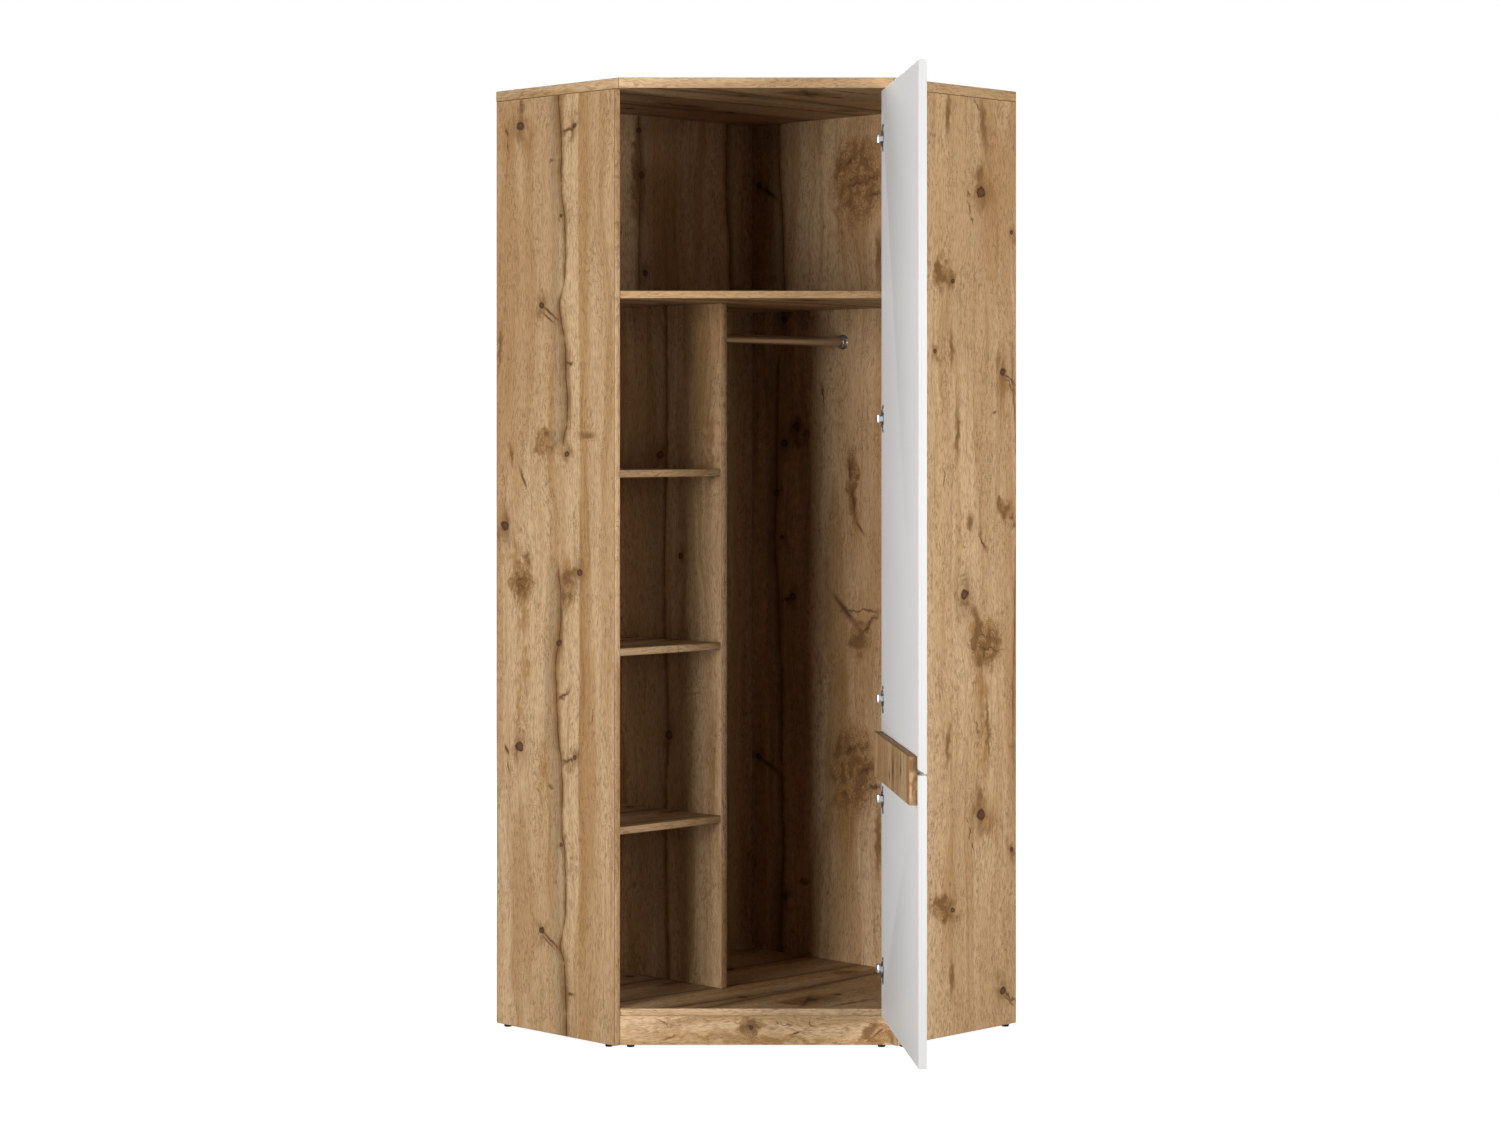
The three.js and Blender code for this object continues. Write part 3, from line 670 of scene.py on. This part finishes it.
def disc_reach(turn, a, b, radius):
    towards = a * math.cos(turn) + b * math.sin(turn)
    inside = towards * towards - a * a - b * b + radius * radius
    return towards + math.sqrt(inside) if inside > 0 else 0


def bar_reach(turn, low_a, high_a, half_b):
    cosine = math.cos(turn)
    sine = abs(math.sin(turn))
    across = (high_a if cosine > 0 else low_a) / cosine if abs(cosine) > 1e-6 else 1e6
    along = half_b / sine if sine > 1e-6 else 1e6
    return min(across, along)


def cross_reach(turn, length, width):
    return max(bar_reach(turn, -length, length, width), bar_reach(turn, -width, width, length))


def band_outline(path, thickness):
    """The outline of a strip of sheet that follows a path."""
    left = []
    right = []
    for index, point in enumerate(path):
        before = path[max(index - 1, 0)]
        after = path[min(index + 1, len(path) - 1)]
        start = (point - before).normalized() if index else (after - point).normalized()
        end = (after - point).normalized() if index < len(path) - 1 else start
        along = (start + end).normalized()
        stretch = 1 / max(along.dot(start), HALF)
        side = Vector((-along.y, along.x)) * (thickness / 2 * stretch)
        left.append(point + side)
        right.insert(0, point - side)
    return [tuple(point) for point in left + right]


def bent(path, radius, steps=5):
    """The path with its corners turned into bends, none past the middle of a straight."""
    points = [path[0]]
    for before, corner, after in zip(path, path[1:], path[2:]):
        back = before - corner
        on = after - corner
        reach = min(radius, back.length * 0.48, on.length * 0.48)
        start = corner + back.normalized() * reach
        end = corner + on.normalized() * reach
        for step in range(steps + 1):
            share = step / steps
            points.append(start.lerp(corner, share).lerp(corner.lerp(end, share), share))
    return points + [path[-1]]


# Solids
SMOOTH_BELOW = 35
OVERRUN = 1

# A face is square to a direction if its normal reaches this far along it
SQUARE = 0.9


def loft(mesh, loops, closed=False):
    """Skins loops of points one after another. The ends are capped, or meet if closed."""
    rings = [[mesh.verts.new(point) for point in loop] for loop in loops]
    pairs = list(zip(rings, rings[1:]))
    faces = []
    if closed:
        pairs.append((rings[-1], rings[0]))
    else:
        faces += [mesh.faces.new(rings[0][::-1]), mesh.faces.new(rings[-1])]
    for lower, upper in pairs:
        for index in range(len(lower)):
            after = (index + 1) % len(lower)
            corners = (lower[index], lower[after], upper[after], upper[index])
            faces.append(mesh.faces.new(corners))
    bmesh.ops.recalc_face_normals(mesh, faces=faces)
    return faces


def skin(mesh, rings, spot, closed=False):
    """Lofts through outlines, each with its depth."""
    loops = [[spot(a, b, depth) for a, b in outline] for outline, depth in rings]
    return loft(mesh, loops, closed)


def prism(mesh, outline, low, high, spot):
    return skin(mesh, [(outline, low), (outline, high)], spot)


def turned(mesh, profile, spot, count, closed=False):
    """A turned solid. Its profile gives radius and depth, one pair after another."""
    skin(mesh, [(circle(radius, count), depth) for radius, depth in profile], spot, closed)


# A screw's pan head and its cross recess, as shares of its radius
HEAD_SHARES = [(1, 0.12), (0.86, 0.24), (0.66, 0.28)]
CROSS_SHARES = (0.56, 0.15)
SCREW_SUNK = 0.2


def screw_head(mesh, spot, radius):
    """A head that stands on depth zero."""
    count = 32
    length, width = [share * radius for share in CROSS_SHARES]
    cross = star(count, lambda turn: cross_reach(turn, length, width))
    rings = [(circle(radius, count), -SCREW_SUNK)]
    rings += [(circle(share * radius, count), rise * radius) for share, rise in HEAD_SHARES]
    top = rings[-1][1]
    skin(mesh, rings + [(cross, top), (cross, 0)], spot)


def round_edges(mesh, radius, faces=None, segments=2, sharper=25, material=0):
    lines = set(line for face in faces for line in face.edges) if faces else mesh.edges
    sharp = [line for line in lines if line.calc_face_angle(0) > math.radians(sharper)]
    bmesh.ops.bevel(mesh, geom=sharp, offset=radius, segments=segments, profile=0.5,
                    affect="EDGES", clamp_overlap=True, material=material)


def mark(mesh, index, chosen):
    """Gives the chosen faces another of the piece's materials."""
    mesh.normal_update()
    for one in mesh.faces:
        if chosen(one):
            one.material_index = index


def settled(name, mesh):
    """The mesh as plain data, with the mesh that it was worked in freed."""
    data = bpy.data.meshes.new(name)
    mesh.to_mesh(data)
    mesh.free()
    return data


def set_out(name, data):
    placed = bpy.data.objects.new(name, data)
    bpy.context.collection.objects.link(placed)
    return placed


def join(mesh, other):
    data = settled("joined", other)
    mesh.from_mesh(data)
    bpy.data.meshes.remove(data)


def carved(mesh, cutter):
    """The first mesh less the second."""
    whole = set_out("whole", settled("whole", mesh))
    tool = set_out("cutter", settled("cutter", cutter))
    cut = whole.modifiers.new("cut", "BOOLEAN")
    cut.operation = "DIFFERENCE"
    cut.solver = "EXACT"
    cut.object = tool
    bpy.context.view_layer.update()
    rest = bmesh.new()
    rest.from_object(whole, bpy.context.evaluated_depsgraph_get())
    for piece in (whole, tool):
        data = piece.data
        bpy.data.objects.remove(piece)
        bpy.data.meshes.remove(data)
    return rest


def finished(name, mesh, materials, body, frame_of=PLAN):
    """Makes the piece from its mesh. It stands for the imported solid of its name, if any."""
    bmesh.ops.transform(mesh, matrix=frame_of, verts=mesh.verts)
    data = settled(name, mesh)
    for material in materials:
        data.materials.append(material)
    data.polygons.foreach_set("use_smooth", [True] * len(data.polygons))
    data.set_sharp_from_angle(angle=math.radians(SMOOTH_BELOW))
    piece = set_out(name, data)
    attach(piece, body)
    if name in frame["nodes"]:
        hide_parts(name)


# Boards: the edge bands have rounded edges, and show as a thin rim round the large faces
FACE, EDGE, SHADE_LINE, BACK_FACE = range(4)
BAND = 1.0
BAND_ROUNDING = 0.8
SHELVES = ("lower", "middle", "upper")
PINS = [(f"pin_{shelf}_{side}_{end}", side) for shelf in SHELVES
        for end in ("front", "rear") for side in ("left", "right")]
PIN_SHANK = 8
PIN_HOLE = 2.65
PIN_HOLE_DEPTH = 9


def board_mesh(outline, low, high, spot):
    mesh = bmesh.new()
    faces = prism(mesh, outline, low, high, spot)
    bmesh.ops.inset_individual(mesh, faces=faces[:2], thickness=BAND, use_even_offset=True)
    for face in mesh.faces:
        face.material_index = FACE if face in faces[:2] else EDGE
    # The rounded edges get the rim finish, a thin dark line of painted shade where the boards
    # meet
    round_edges(mesh, BAND_ROUNDING, material=SHADE_LINE)
    return mesh


def pin_spot(name, side):
    """Where a shelf pin enters its board, with depths counted into the board."""
    low, high = span(name)
    if side == "left":
        return line_through(name, low.x + PIN_SHANK, -1)
    return line_through(name, high.x - PIN_SHANK)


def pin_holes(board_side):
    cutter = bmesh.new()
    for name, side in PINS:
        if side == board_side:
            hole = [(PIN_HOLE, -OVERRUN), (PIN_HOLE, PIN_HOLE_DEPTH)]
            turned(cutter, hole, pin_spot(name, side), count=16)
    return cutter


def upright_board(name, thin_axis, face, pin_side=None, back=None):
    low, high = span(name)
    if thin_axis == "x":
        mesh = board_mesh(rectangle(low.y, low.z, high.y, high.z), low.x, high.x, facing_x)
    else:
        mesh = board_mesh(rectangle(low.x, low.z, high.x, high.z), low.y, high.y, facing_y)
    if pin_side:
        mesh = carved(mesh, pin_holes(pin_side))
    materials = [face, UPRIGHT_EDGE, RIM]
    if back:
        mark(mesh, BACK_FACE, lambda one: one.normal.y > SQUARE and one.material_index == FACE)
        materials.append(back)
    finished(name, mesh, materials, "carcass")


def level_board(name, front_line=None):
    """A shelf, or a five-cornered board whose front line cuts the corner at that distance."""
    low, high = span(name)
    outline = rectangle(low.x, low.y, high.x, high.y)
    if front_line is not None:
        outline = [(low.x, front_line - low.x), (front_line - low.y, low.y), (high.x, low.y),
                   (high.x, high.y), (low.x, high.y)]
    mesh = board_mesh(outline, low.z, high.z, facing_up)
    finished(name, mesh, [LEVEL_BOARDS, LEVEL_EDGE, RIM], "carcass")


def front_plinth():
    """A board with mitred ends that lies across the corner, along the closed door."""
    low, high = span("front_plinth")
    thickness = BOARD / HALF
    outline = [(low.x, INNER_LINE - low.x), (INNER_LINE - low.y, low.y),
               (INNER_LINE - low.y + thickness, low.y), (low.x, INNER_LINE - low.x + thickness)]
    mesh = bmesh.new()
    prism(mesh, outline, low.z, high.z, facing_up)
    round_edges(mesh, BAND_ROUNDING)
    mark(mesh, EDGE, lambda one: abs(one.normal.dot(TO_BACK)) <= SQUARE)
    finished("front_plinth", mesh, [PLINTH, LEVEL_EDGE], "carcass")


BOARD = (left_high.x - left_low.x) / MM
SIDE_FRONT = (left_low.y - ZERO.y) / MM
INNER_LINE = SIDE_FRONT + BOARD
TOP_AHEAD = 12.3
TOP_LINE = SIDE_FRONT - TOP_AHEAD

upright_board("left_side", "x", LEFT_SIDE, "left")
upright_board("right_side", "y", RIGHT_SIDE)
upright_board("left_back_sheet", "y", LEFT_BACK, back=FIBREBOARD)
upright_board("right_back_panel", "x", RIGHT_BACK)
upright_board("partition", "x", PARTITION, "right")
upright_board("rear_plinth", "y", LEVEL_BOARDS)
level_board("top_panel", TOP_LINE)
level_board("bottom_panel", INNER_LINE)
level_board("main_shelf", INNER_LINE)
for shelf_name in SHELVES:
    level_board(f"shelf_{shelf_name}")
front_plinth()


# Nails that hold the back sheet, seen from behind. The lowest row goes into the floor board
NAIL_INSET = 8
LOWEST_NAILS = 68
NAIL_ROWS = 12
NAIL_COLUMNS = 5
NAIL_HEAD = [(1.9, -0.6), (1.9, -0.1), (1.6, 0.15)]


def back_nails():
    low, high = span("left_back_sheet")
    mesh = bmesh.new()
    places = []
    for row in range(NAIL_ROWS + 1):
        share = row / NAIL_ROWS
        height = low.z + NAIL_INSET + (high.z - low.z - 2 * NAIL_INSET) * share
        places += [(low.x + NAIL_INSET, height), (high.x - NAIL_INSET, height)]
    for column in range(1, NAIL_COLUMNS):
        share = column / NAIL_COLUMNS
        across = low.x + NAIL_INSET + (high.x - low.x - 2 * NAIL_INSET) * share
        places += [(across, low.z + LOWEST_NAILS), (across, high.z - NAIL_INSET)]
    for across, height in places:
        turned(mesh, NAIL_HEAD, at(facing_y, across, height, high.y), count=12)
    finished("back_sheet_nails", mesh, [ZINC], "carcass")


back_nails()


# Door, drawn in its own frame: x from the pivots to the hinge edge, y to the inner face
DOOR_THICKNESS = 16
INNER_FACE = 10.7
OUTER_FACE = INNER_FACE - DOOR_THICKNESS
HINGE_EDGE = 9.5
DOOR_WIDTH = 560.06
FREE_EDGE = HINGE_EDGE - DOOR_WIDTH
JOINT_CHAMFER = 9
FOIL_ROUNDING = 1.3
SEAT_GAP = 0.3
SEAT = INNER_FACE + SEAT_GAP
STRIP_INSET = 15

CUP_MIDDLE = -13
CUP_RADIUS = 17.2
CUP_DEPTH = 12.7
CUP_WALL = 0.8
RIM_TOP = SEAT + 1.2
HINGES = (1, 2, 3, 4, 5)


def hinge_height(number):
    return middle(f"hinge_{number}_cup").z


def front_of_door(name, chamfer, hinges):
    low, high = span(name)
    outline = [(OUTER_FACE, low.z), (INNER_FACE, low.z + chamfer), (INNER_FACE, high.z),
               (OUTER_FACE, high.z)]
    mesh = bmesh.new()
    prism(mesh, outline, FREE_EDGE, HINGE_EDGE, facing_x)
    round_edges(mesh, FOIL_ROUNDING, segments=3)
    cutter = bmesh.new()
    radius = CUP_RADIUS + SEAT_GAP
    bore = [(radius, -CUP_DEPTH - SEAT_GAP), (radius, OVERRUN)]
    for number in hinges:
        spot = at(facing_y, CUP_MIDDLE, hinge_height(number), INNER_FACE)
        turned(cutter, bore, spot, count=48)
    mesh = carved(mesh, cutter)
    mark(mesh, EDGE, lambda one: abs(one.normal.x) > SQUARE)
    finished(name, mesh, [WHITE, WHITE_BAND_SHADED], "door", DOOR)


front_of_door("upper_front", JOINT_CHAMFER, (1, 2, 3))
front_of_door("lower_front", 0, (4, 5))


def handle_strip():
    low, high = span("handle_strip")
    outline = rectangle(FREE_EDGE + STRIP_INSET, low.z, HINGE_EDGE - STRIP_INSET, high.z)
    mesh = board_mesh(outline, SEAT, SEAT + BOARD, facing_y)
    finished("handle_strip", mesh, [STRIP, STRIP_EDGE, RIM], "door", DOOR)


handle_strip()


# Hinge cups: a deep-drawn cup with a rolled rim, a flange with two screws, and two ears
LOBE_SPAN = 57
LOBE_RADIUS = 7.5
LOBE_HEIGHT = LOBE_SPAN / 2 - LOBE_RADIUS
LOBE_OFFSET = -7
FLANGE_EYE = -4
RIM_RADIUS = 19
FLANGE_CHAMFER = 0.4
FLANGE_SCREW = 3.6
CUP_FLOOR = INNER_FACE - CUP_DEPTH
CUP_FLOOR_INSIDE = CUP_FLOOR + 0.7
CUP_COUNT = 96
EAR_INNER = 5.4
EAR_OUTER = 7.4
EAR_BACK = 2
EAR_FRONT = 2.8
EAR_TOP = 2.4
EAR_SUNK = 0.05
EAR_COUNT = 32
PIN_PLAY_RADIUS = 1.2

# Rounded corners of the cup: how far each point is from the wall, and from the floor or rim
OUTER_FOOT = [(1, 0), (0.3, 0.3), (0, 1)]
INNER_FOOT = [(0, 1.2), (0.4, 0.4), (1.2, 0)]
MOUTH = [(0.9, 0), (0.3, 0.3), (0, 1)]


def flange_reach(turn):
    across = LOBE_OFFSET - FLANGE_EYE
    lobes = [disc_reach(turn, across, side * LOBE_HEIGHT, LOBE_RADIUS) for side in (-1, 1)]
    bar = bar_reach(turn, across - LOBE_RADIUS, across + LOBE_RADIUS, LOBE_HEIGHT)
    return max(*lobes, bar, disc_reach(turn, -FLANGE_EYE, 0, RIM_RADIUS))


def flange_outline(inset=0):
    outline = star(CUP_COUNT, lambda turn: flange_reach(turn) - inset)
    return [(a + FLANGE_EYE, b) for a, b in outline]


def cup_shell(mesh, spot):
    """Outside from the floor up, over the flange, and inside down to the floor again."""
    wall = CUP_RADIUS - CUP_WALL
    outer = [(CUP_RADIUS - inset, CUP_FLOOR + rise) for inset, rise in OUTER_FOOT]
    outer.append((CUP_RADIUS, SEAT))
    inner = [(wall + flare, RIM_TOP - fall) for flare, fall in MOUTH]
    inner += [(wall - inset, CUP_FLOOR_INSIDE + rise) for inset, rise in INNER_FOOT]
    rings = [(circle(radius, CUP_COUNT), depth) for radius, depth in outer]
    rings += [(flange_outline(), SEAT), (flange_outline(), RIM_TOP - FLANGE_CHAMFER),
              (flange_outline(FLANGE_CHAMFER), RIM_TOP)]
    rings += [(circle(radius, CUP_COUNT), depth) for radius, depth in inner]
    skin(mesh, rings, spot)


def ear_reach(turn):
    foot = bar_reach(turn, -EAR_BACK, EAR_FRONT, EAR_SUNK - CUP_FLOOR_INSIDE)
    return foot if math.sin(turn) < 0 else EAR_TOP


def hinge_ear(mesh, height, side):
    """A lug round the pivot pin, with its hole."""
    outside = star(EAR_COUNT, ear_reach)
    hole = circle(PIN_PLAY_RADIUS, EAR_COUNT)
    low, high = sorted((side * EAR_INNER, side * EAR_OUTER))
    rings = [(outside, low), (outside, high), (hole, high), (hole, low)]
    skin(mesh, rings, at(facing_up, 0, 0, height), closed=True)


def hinge_cup(number):
    mesh = bmesh.new()
    height = hinge_height(number)
    cup_shell(mesh, at(facing_y, CUP_MIDDLE, height, 0))
    for side in (-1, 1):
        lobe = at(facing_y, CUP_MIDDLE + LOBE_OFFSET, height + side * LOBE_HEIGHT, RIM_TOP)
        screw_head(mesh, lobe, FLANGE_SCREW)
        hinge_ear(mesh, height, side)
    finished(f"hinge_{number}_cup", mesh, [CUP_STEEL], "door", DOOR)


for number in HINGES:
    hinge_cup(number)


# Hinge arms, which stand still. Distances are counted from the pivot, in plan
PIVOT_PLAN = Vector(((PIVOT.x - ZERO.x) / MM, (PIVOT.y - ZERO.y) / MM))
ARM_THICKNESS = 2.4
ARM_ROUNDING = 1.2
ARM_HALF_HEIGHT = 8
ARM_FRONT = SIDE_FRONT + 6
ARM_LENGTH = 54
ARM_LOW = BOARD + 3
ARM_TOP = ARM_LOW + 8
LINK_LENGTH = 16
LINK_THICKNESS = 1.2
LINK_HALF_HEIGHT = 5
PIVOT_PIN = [(0.7, -7.2), (1, -6.9), (1, 6.9), (0.7, 7.2)]
NECK = [(-13.6, 1.2), (-19, 1.2), (-21.5, 5), (-21.5, 17), (-18, 20.5)]
NECK_BEND = 3.2
SHARPER_THAN_BENDS = 50
GROOVE_START = 14
GROOVE_WALL = 2
GROOVE_DEPTH = 3
ARM_SCREWS = [(9, 3), (37, 4)]
PLATE_MIDDLE = SIDE_FRONT + 37
PLATE_TOP = BOARD + 2
PLATE_SCREW = 4.2
PLATE_SCREW_HEIGHT = 17
EDGE_ROUNDING = 0.5

# The front and back end of a block, half its height, and the radius of its corners
ARM = (0, ARM_LENGTH, ARM_HALF_HEIGHT, 3)
WINGS = (-10, 10, 25, 6)
RISER = (-15, 19, 5.5, 2)


def from_pivot(right, back):
    return Vector((PIVOT_PLAN.x + (right + back) * HALF, PIVOT_PLAN.y + (back - right) * HALF))


def block(mesh, start, height, shape, low, high):
    front, back, half, corner = shape
    outline = rounded_rectangle(start + front, height - half, start + back, height + half, corner)
    return prism(mesh, outline, low, high, facing_y)


def arm_body(height):
    """A channel that is open towards the plate."""
    mesh = bmesh.new()
    faces = block(mesh, ARM_FRONT, height, ARM, ARM_LOW, ARM_TOP)
    round_edges(mesh, ARM_ROUNDING, faces=faces[1:2], segments=3)
    groove = bmesh.new()
    half = ARM_HALF_HEIGHT - GROOVE_WALL
    end = ARM_FRONT + ARM_LENGTH + OVERRUN
    outline = rectangle(ARM_FRONT + GROOVE_START, height - half, end, height + half)
    prism(groove, outline, ARM_LOW - OVERRUN, ARM_TOP - GROOVE_DEPTH, facing_y)
    return carved(mesh, groove)


def neck_and_link(height):
    mesh = bmesh.new()
    path = [from_pivot(*point) for point in NECK]
    path.append(Vector((ARM_FRONT + ARM_THICKNESS, (ARM_LOW + ARM_TOP) / 2)))
    neck = band_outline(bent(path, NECK_BEND), ARM_THICKNESS)
    prism(mesh, neck, height - ARM_HALF_HEIGHT, height + ARM_HALF_HEIGHT, facing_up)
    round_edges(mesh, EDGE_ROUNDING, sharper=SHARPER_THAN_BENDS)
    link = [from_pivot(0, 0), from_pivot(-LINK_LENGTH, LINK_THICKNESS / 2)]
    prism(mesh, band_outline(link, LINK_THICKNESS), height - LINK_HALF_HEIGHT,
          height + LINK_HALF_HEIGHT, facing_up)
    return mesh


def hinge_arm(number):
    height = hinge_height(number)
    mesh = arm_body(height)
    join(mesh, neck_and_link(height))
    turned(mesh, PIVOT_PIN, at(facing_up, PIVOT_PLAN.x, PIVOT_PLAN.y, height), count=16)
    for back, radius in ARM_SCREWS:
        screw_head(mesh, at(facing_y, ARM_FRONT + back, height, ARM_TOP), radius)
    finished(f"hinge_{number}_arm", mesh, [HINGE_STEEL], "carcass")


def hinge_plate(number):
    """Two wings on the side panel, and the riser that the arm sits on."""
    height = hinge_height(number)
    mesh = bmesh.new()
    faces = block(mesh, PLATE_MIDDLE, height, WINGS, BOARD, PLATE_TOP)
    round_edges(mesh, EDGE_ROUNDING, faces=faces[1:2])
    block(mesh, PLATE_MIDDLE, height, RISER, BOARD, ARM_TOP - GROOVE_DEPTH)
    for side in (-1, 1):
        level = height + side * PLATE_SCREW_HEIGHT
        screw_head(mesh, at(facing_y, PLATE_MIDDLE, level, PLATE_TOP), PLATE_SCREW)
    finished(f"hinge_{number}_plate", mesh, [HINGE_STEEL], "carcass")


for number in HINGES:
    hinge_arm(number)
    hinge_plate(number)


# Hanging rail, a thin tube in two screwed sockets. A profile gives radius and depth
RAIL_RADIUS = 10
RAIL_WALL = 1.2
RAIL_CHAMFER = 0.2
SOCKET = [(16.5, 0), (17, 0.4), (17, 1.4), (16.4, 2), (13.6, 2), (13, 2.2), (12.8, 2.8),
          (12.8, 11), (12.5, 11.7), (11.8, 12), (10.9, 12), (10.4, 11.6), (10.4, 2)]
SOCKET_FLANGE = 2
SOCKET_SCREW = 1.7
SOCKET_SCREW_CIRCLE = 14.9
SHELF_PIN = [(2.1, PIN_SHANK), (2.5, 7.6), (2.5, 0), (3.5, 0), (3.5, -5.6), (3.35, -6.2),
             (3, -6.7), (2.4, -7)]
GLIDE = [(2, 0.7), (2.2, 0), (6.4, 0), (7.2, 0.25), (7.8, 0.8), (8, 1.5), (8, 4.6), (7.6, 5)]


def turned_piece(name, profile, spot, count, material, closed=False):
    mesh = bmesh.new()
    turned(mesh, profile, spot, count, closed)
    finished(name, mesh, [material], "carcass")


def hanging_rail(name):
    low, high = span(name)
    bore = RAIL_RADIUS - RAIL_WALL
    edge = RAIL_RADIUS - RAIL_CHAMFER
    profile = [(RAIL_RADIUS, low.x + RAIL_CHAMFER), (RAIL_RADIUS, high.x - RAIL_CHAMFER),
               (edge, high.x), (bore, high.x), (bore, low.x), (edge, low.x)]
    turned_piece(name, profile, line_through(name, 0), 64, RAIL_METAL, closed=True)


def rail_socket(name, way):
    low, high = span(name)
    spot = line_through(name, low.x if way > 0 else high.x, way)
    mesh = bmesh.new()
    turned(mesh, SOCKET, spot, count=48)
    for third in range(3):
        turn = math.pi / 2 + math.tau * third / 3
        a, b = SOCKET_SCREW_CIRCLE * math.cos(turn), SOCKET_SCREW_CIRCLE * math.sin(turn)
        screw_head(mesh, at(spot, a, b, SOCKET_FLANGE), SOCKET_SCREW)
    bmesh.ops.recalc_face_normals(mesh, faces=mesh.faces)
    finished(name, mesh, [RAIL_METAL], "carcass")


def glide(name):
    """A hard plastic foot on a nail."""
    spot = middle(name)
    turned_piece(name, GLIDE, at(facing_up, spot.x, spot.y, 0), 36, BLACK)


hanging_rail("hanging_rail")
rail_socket("rail_socket_left", 1)
rail_socket("rail_socket_right", -1)
for pin_name, pin_side in PINS:
    turned_piece(pin_name, SHELF_PIN, pin_spot(pin_name, pin_side), 24, ZINC)
for node_name in frame["nodes"]:
    if node_name.startswith("glide"):
        glide(node_name)


# Camera: level, on the centre line of the opening, looking square at the door's plane
EYE_DISTANCE = 6683 * MM
EYE_HEIGHT = 1264 * MM
SENSOR_WIDTH = 36
LENS = 77.64
SHIFT_RIGHT = -0.0041
SHIFT_UP = -0.0836


def photo_camera():
    data = bpy.data.cameras.new("camera")
    data.sensor_fit = "HORIZONTAL"
    data.sensor_width = SENSOR_WIDTH
    data.lens = LENS
    data.shift_x = SHIFT_RIGHT
    data.shift_y = SHIFT_UP
    camera = set_out("camera", data)
    camera.location = FRONT_MIDDLE - TO_BACK * EYE_DISTANCE + UP * EYE_HEIGHT
    camera.rotation_euler = (math.pi / 2, 0, -math.pi / 4)
    bpy.context.scene.camera = camera


# Pale floor, white room light and three soft lights, one of them behind the wardrobe
FLOOR_REACH = 40
FLOOR_MIDDLE = 0.3
NEAR_GLOW = (0.90, 0.90, 0.90, 1)
FAR_GLOW = (1.05, 1.05, 1.05, 1)
GLOW_START = 1.0
GLOW_END = 3.5
WHITE_LIGHT = (1, 1, 1, 1)
ROOM_STRENGTH = 0.015


def studio_floor():
    """It looks white, and throws little light back."""
    mesh = bmesh.new()
    corners = rectangle(-FLOOR_REACH, -FLOOR_REACH, FLOOR_REACH, FLOOR_REACH)
    mesh.faces.new([mesh.verts.new((x, y, 0)) for x, y in corners])
    data = settled("studio_floor", mesh)
    pale = Finish("pale_floor")
    east, north = [way * MM - FLOOR_MIDDLE for way in pale.distances(WALL_X, WALL_Y)]
    far = (east * east + north * north) ** 0.5
    seen = pale.node("BsdfPrincipled", None, {
        "Base Color": (0.4, 0.4, 0.4, 1),
        "Roughness": 0.8,
        "Specular IOR Level": 0.0,
        "Emission Color": pale.mix(NEAR_GLOW, FAR_GLOW, far.between(GLOW_START, GLOW_END)),
        "Emission Strength": 1.0,
    })
    lit = pale.node("BsdfDiffuse", None, {"Color": (0.15, 0.15, 0.15, 1)})
    pale.seen_and_lit(seen, lit, "OutputMaterial")
    data.materials.append(pale.made)
    set_out("studio_floor", data)


def room_light():
    """The room looks white, and gives little light."""
    room = Finish("studio", bpy.data.worlds)
    seen = room.node("Background", None, {"Color": WHITE_LIGHT, "Strength": 1.0})
    lit = room.node("Background", None, {"Color": WHITE_LIGHT, "Strength": ROOM_STRENGTH})
    room.seen_and_lit(seen, lit, "OutputWorld")
    bpy.context.scene.world = room.made


LIGHT_DISTANCE = 5.5
LIGHT_BEARING = 39
LIGHT_HALF_WIDTH = 14
LIGHT_HALF_HEIGHT = 14.5
LIGHT_MIDDLE = 1.26
LEFT_RADIANCE = 13.9
RIGHT_RADIANCE = 14.8
BACK_RISE = 35
BACK_RADIANCE = 15


def soft_light(name, bearing, rise, radiance):
    """A light that faces the wardrobe. Its bearing is 0 at the camera's side. The camera
    doesn't see it."""
    bearing, rise = math.radians(bearing), math.radians(rise)
    level = TO_RIGHT * math.sin(bearing) - TO_BACK * math.cos(bearing)
    outward = level * math.cos(rise) + UP * math.sin(rise)
    light = bpy.data.lights.new(name, "AREA")
    light.shape = "RECTANGLE"
    light.size = 2 * LIGHT_DISTANCE * math.tan(math.radians(LIGHT_HALF_WIDTH))
    light.size_y = 2 * LIGHT_DISTANCE * math.tan(math.radians(LIGHT_HALF_HEIGHT))
    light.energy = radiance * math.pi * light.size * light.size_y
    lamp = set_out(name, light)
    lamp.location = FRONT_MIDDLE + outward * LIGHT_DISTANCE + UP * LIGHT_MIDDLE
    lamp.rotation_mode = "QUATERNION"
    lamp.rotation_quaternion = outward.to_track_quat("Z", "Y")
    lamp.visible_camera = False


photo_camera()
studio_floor()
room_light()
soft_light("left_soft_light", -LIGHT_BEARING, 0, LEFT_RADIANCE)
soft_light("right_soft_light", LIGHT_BEARING, 0, RIGHT_RADIANCE)
soft_light("back_soft_light", 180, BACK_RISE, BACK_RADIANCE)
bpy.context.scene.view_settings.view_transform = "Standard"
bpy.context.scene.view_settings.look = "None"
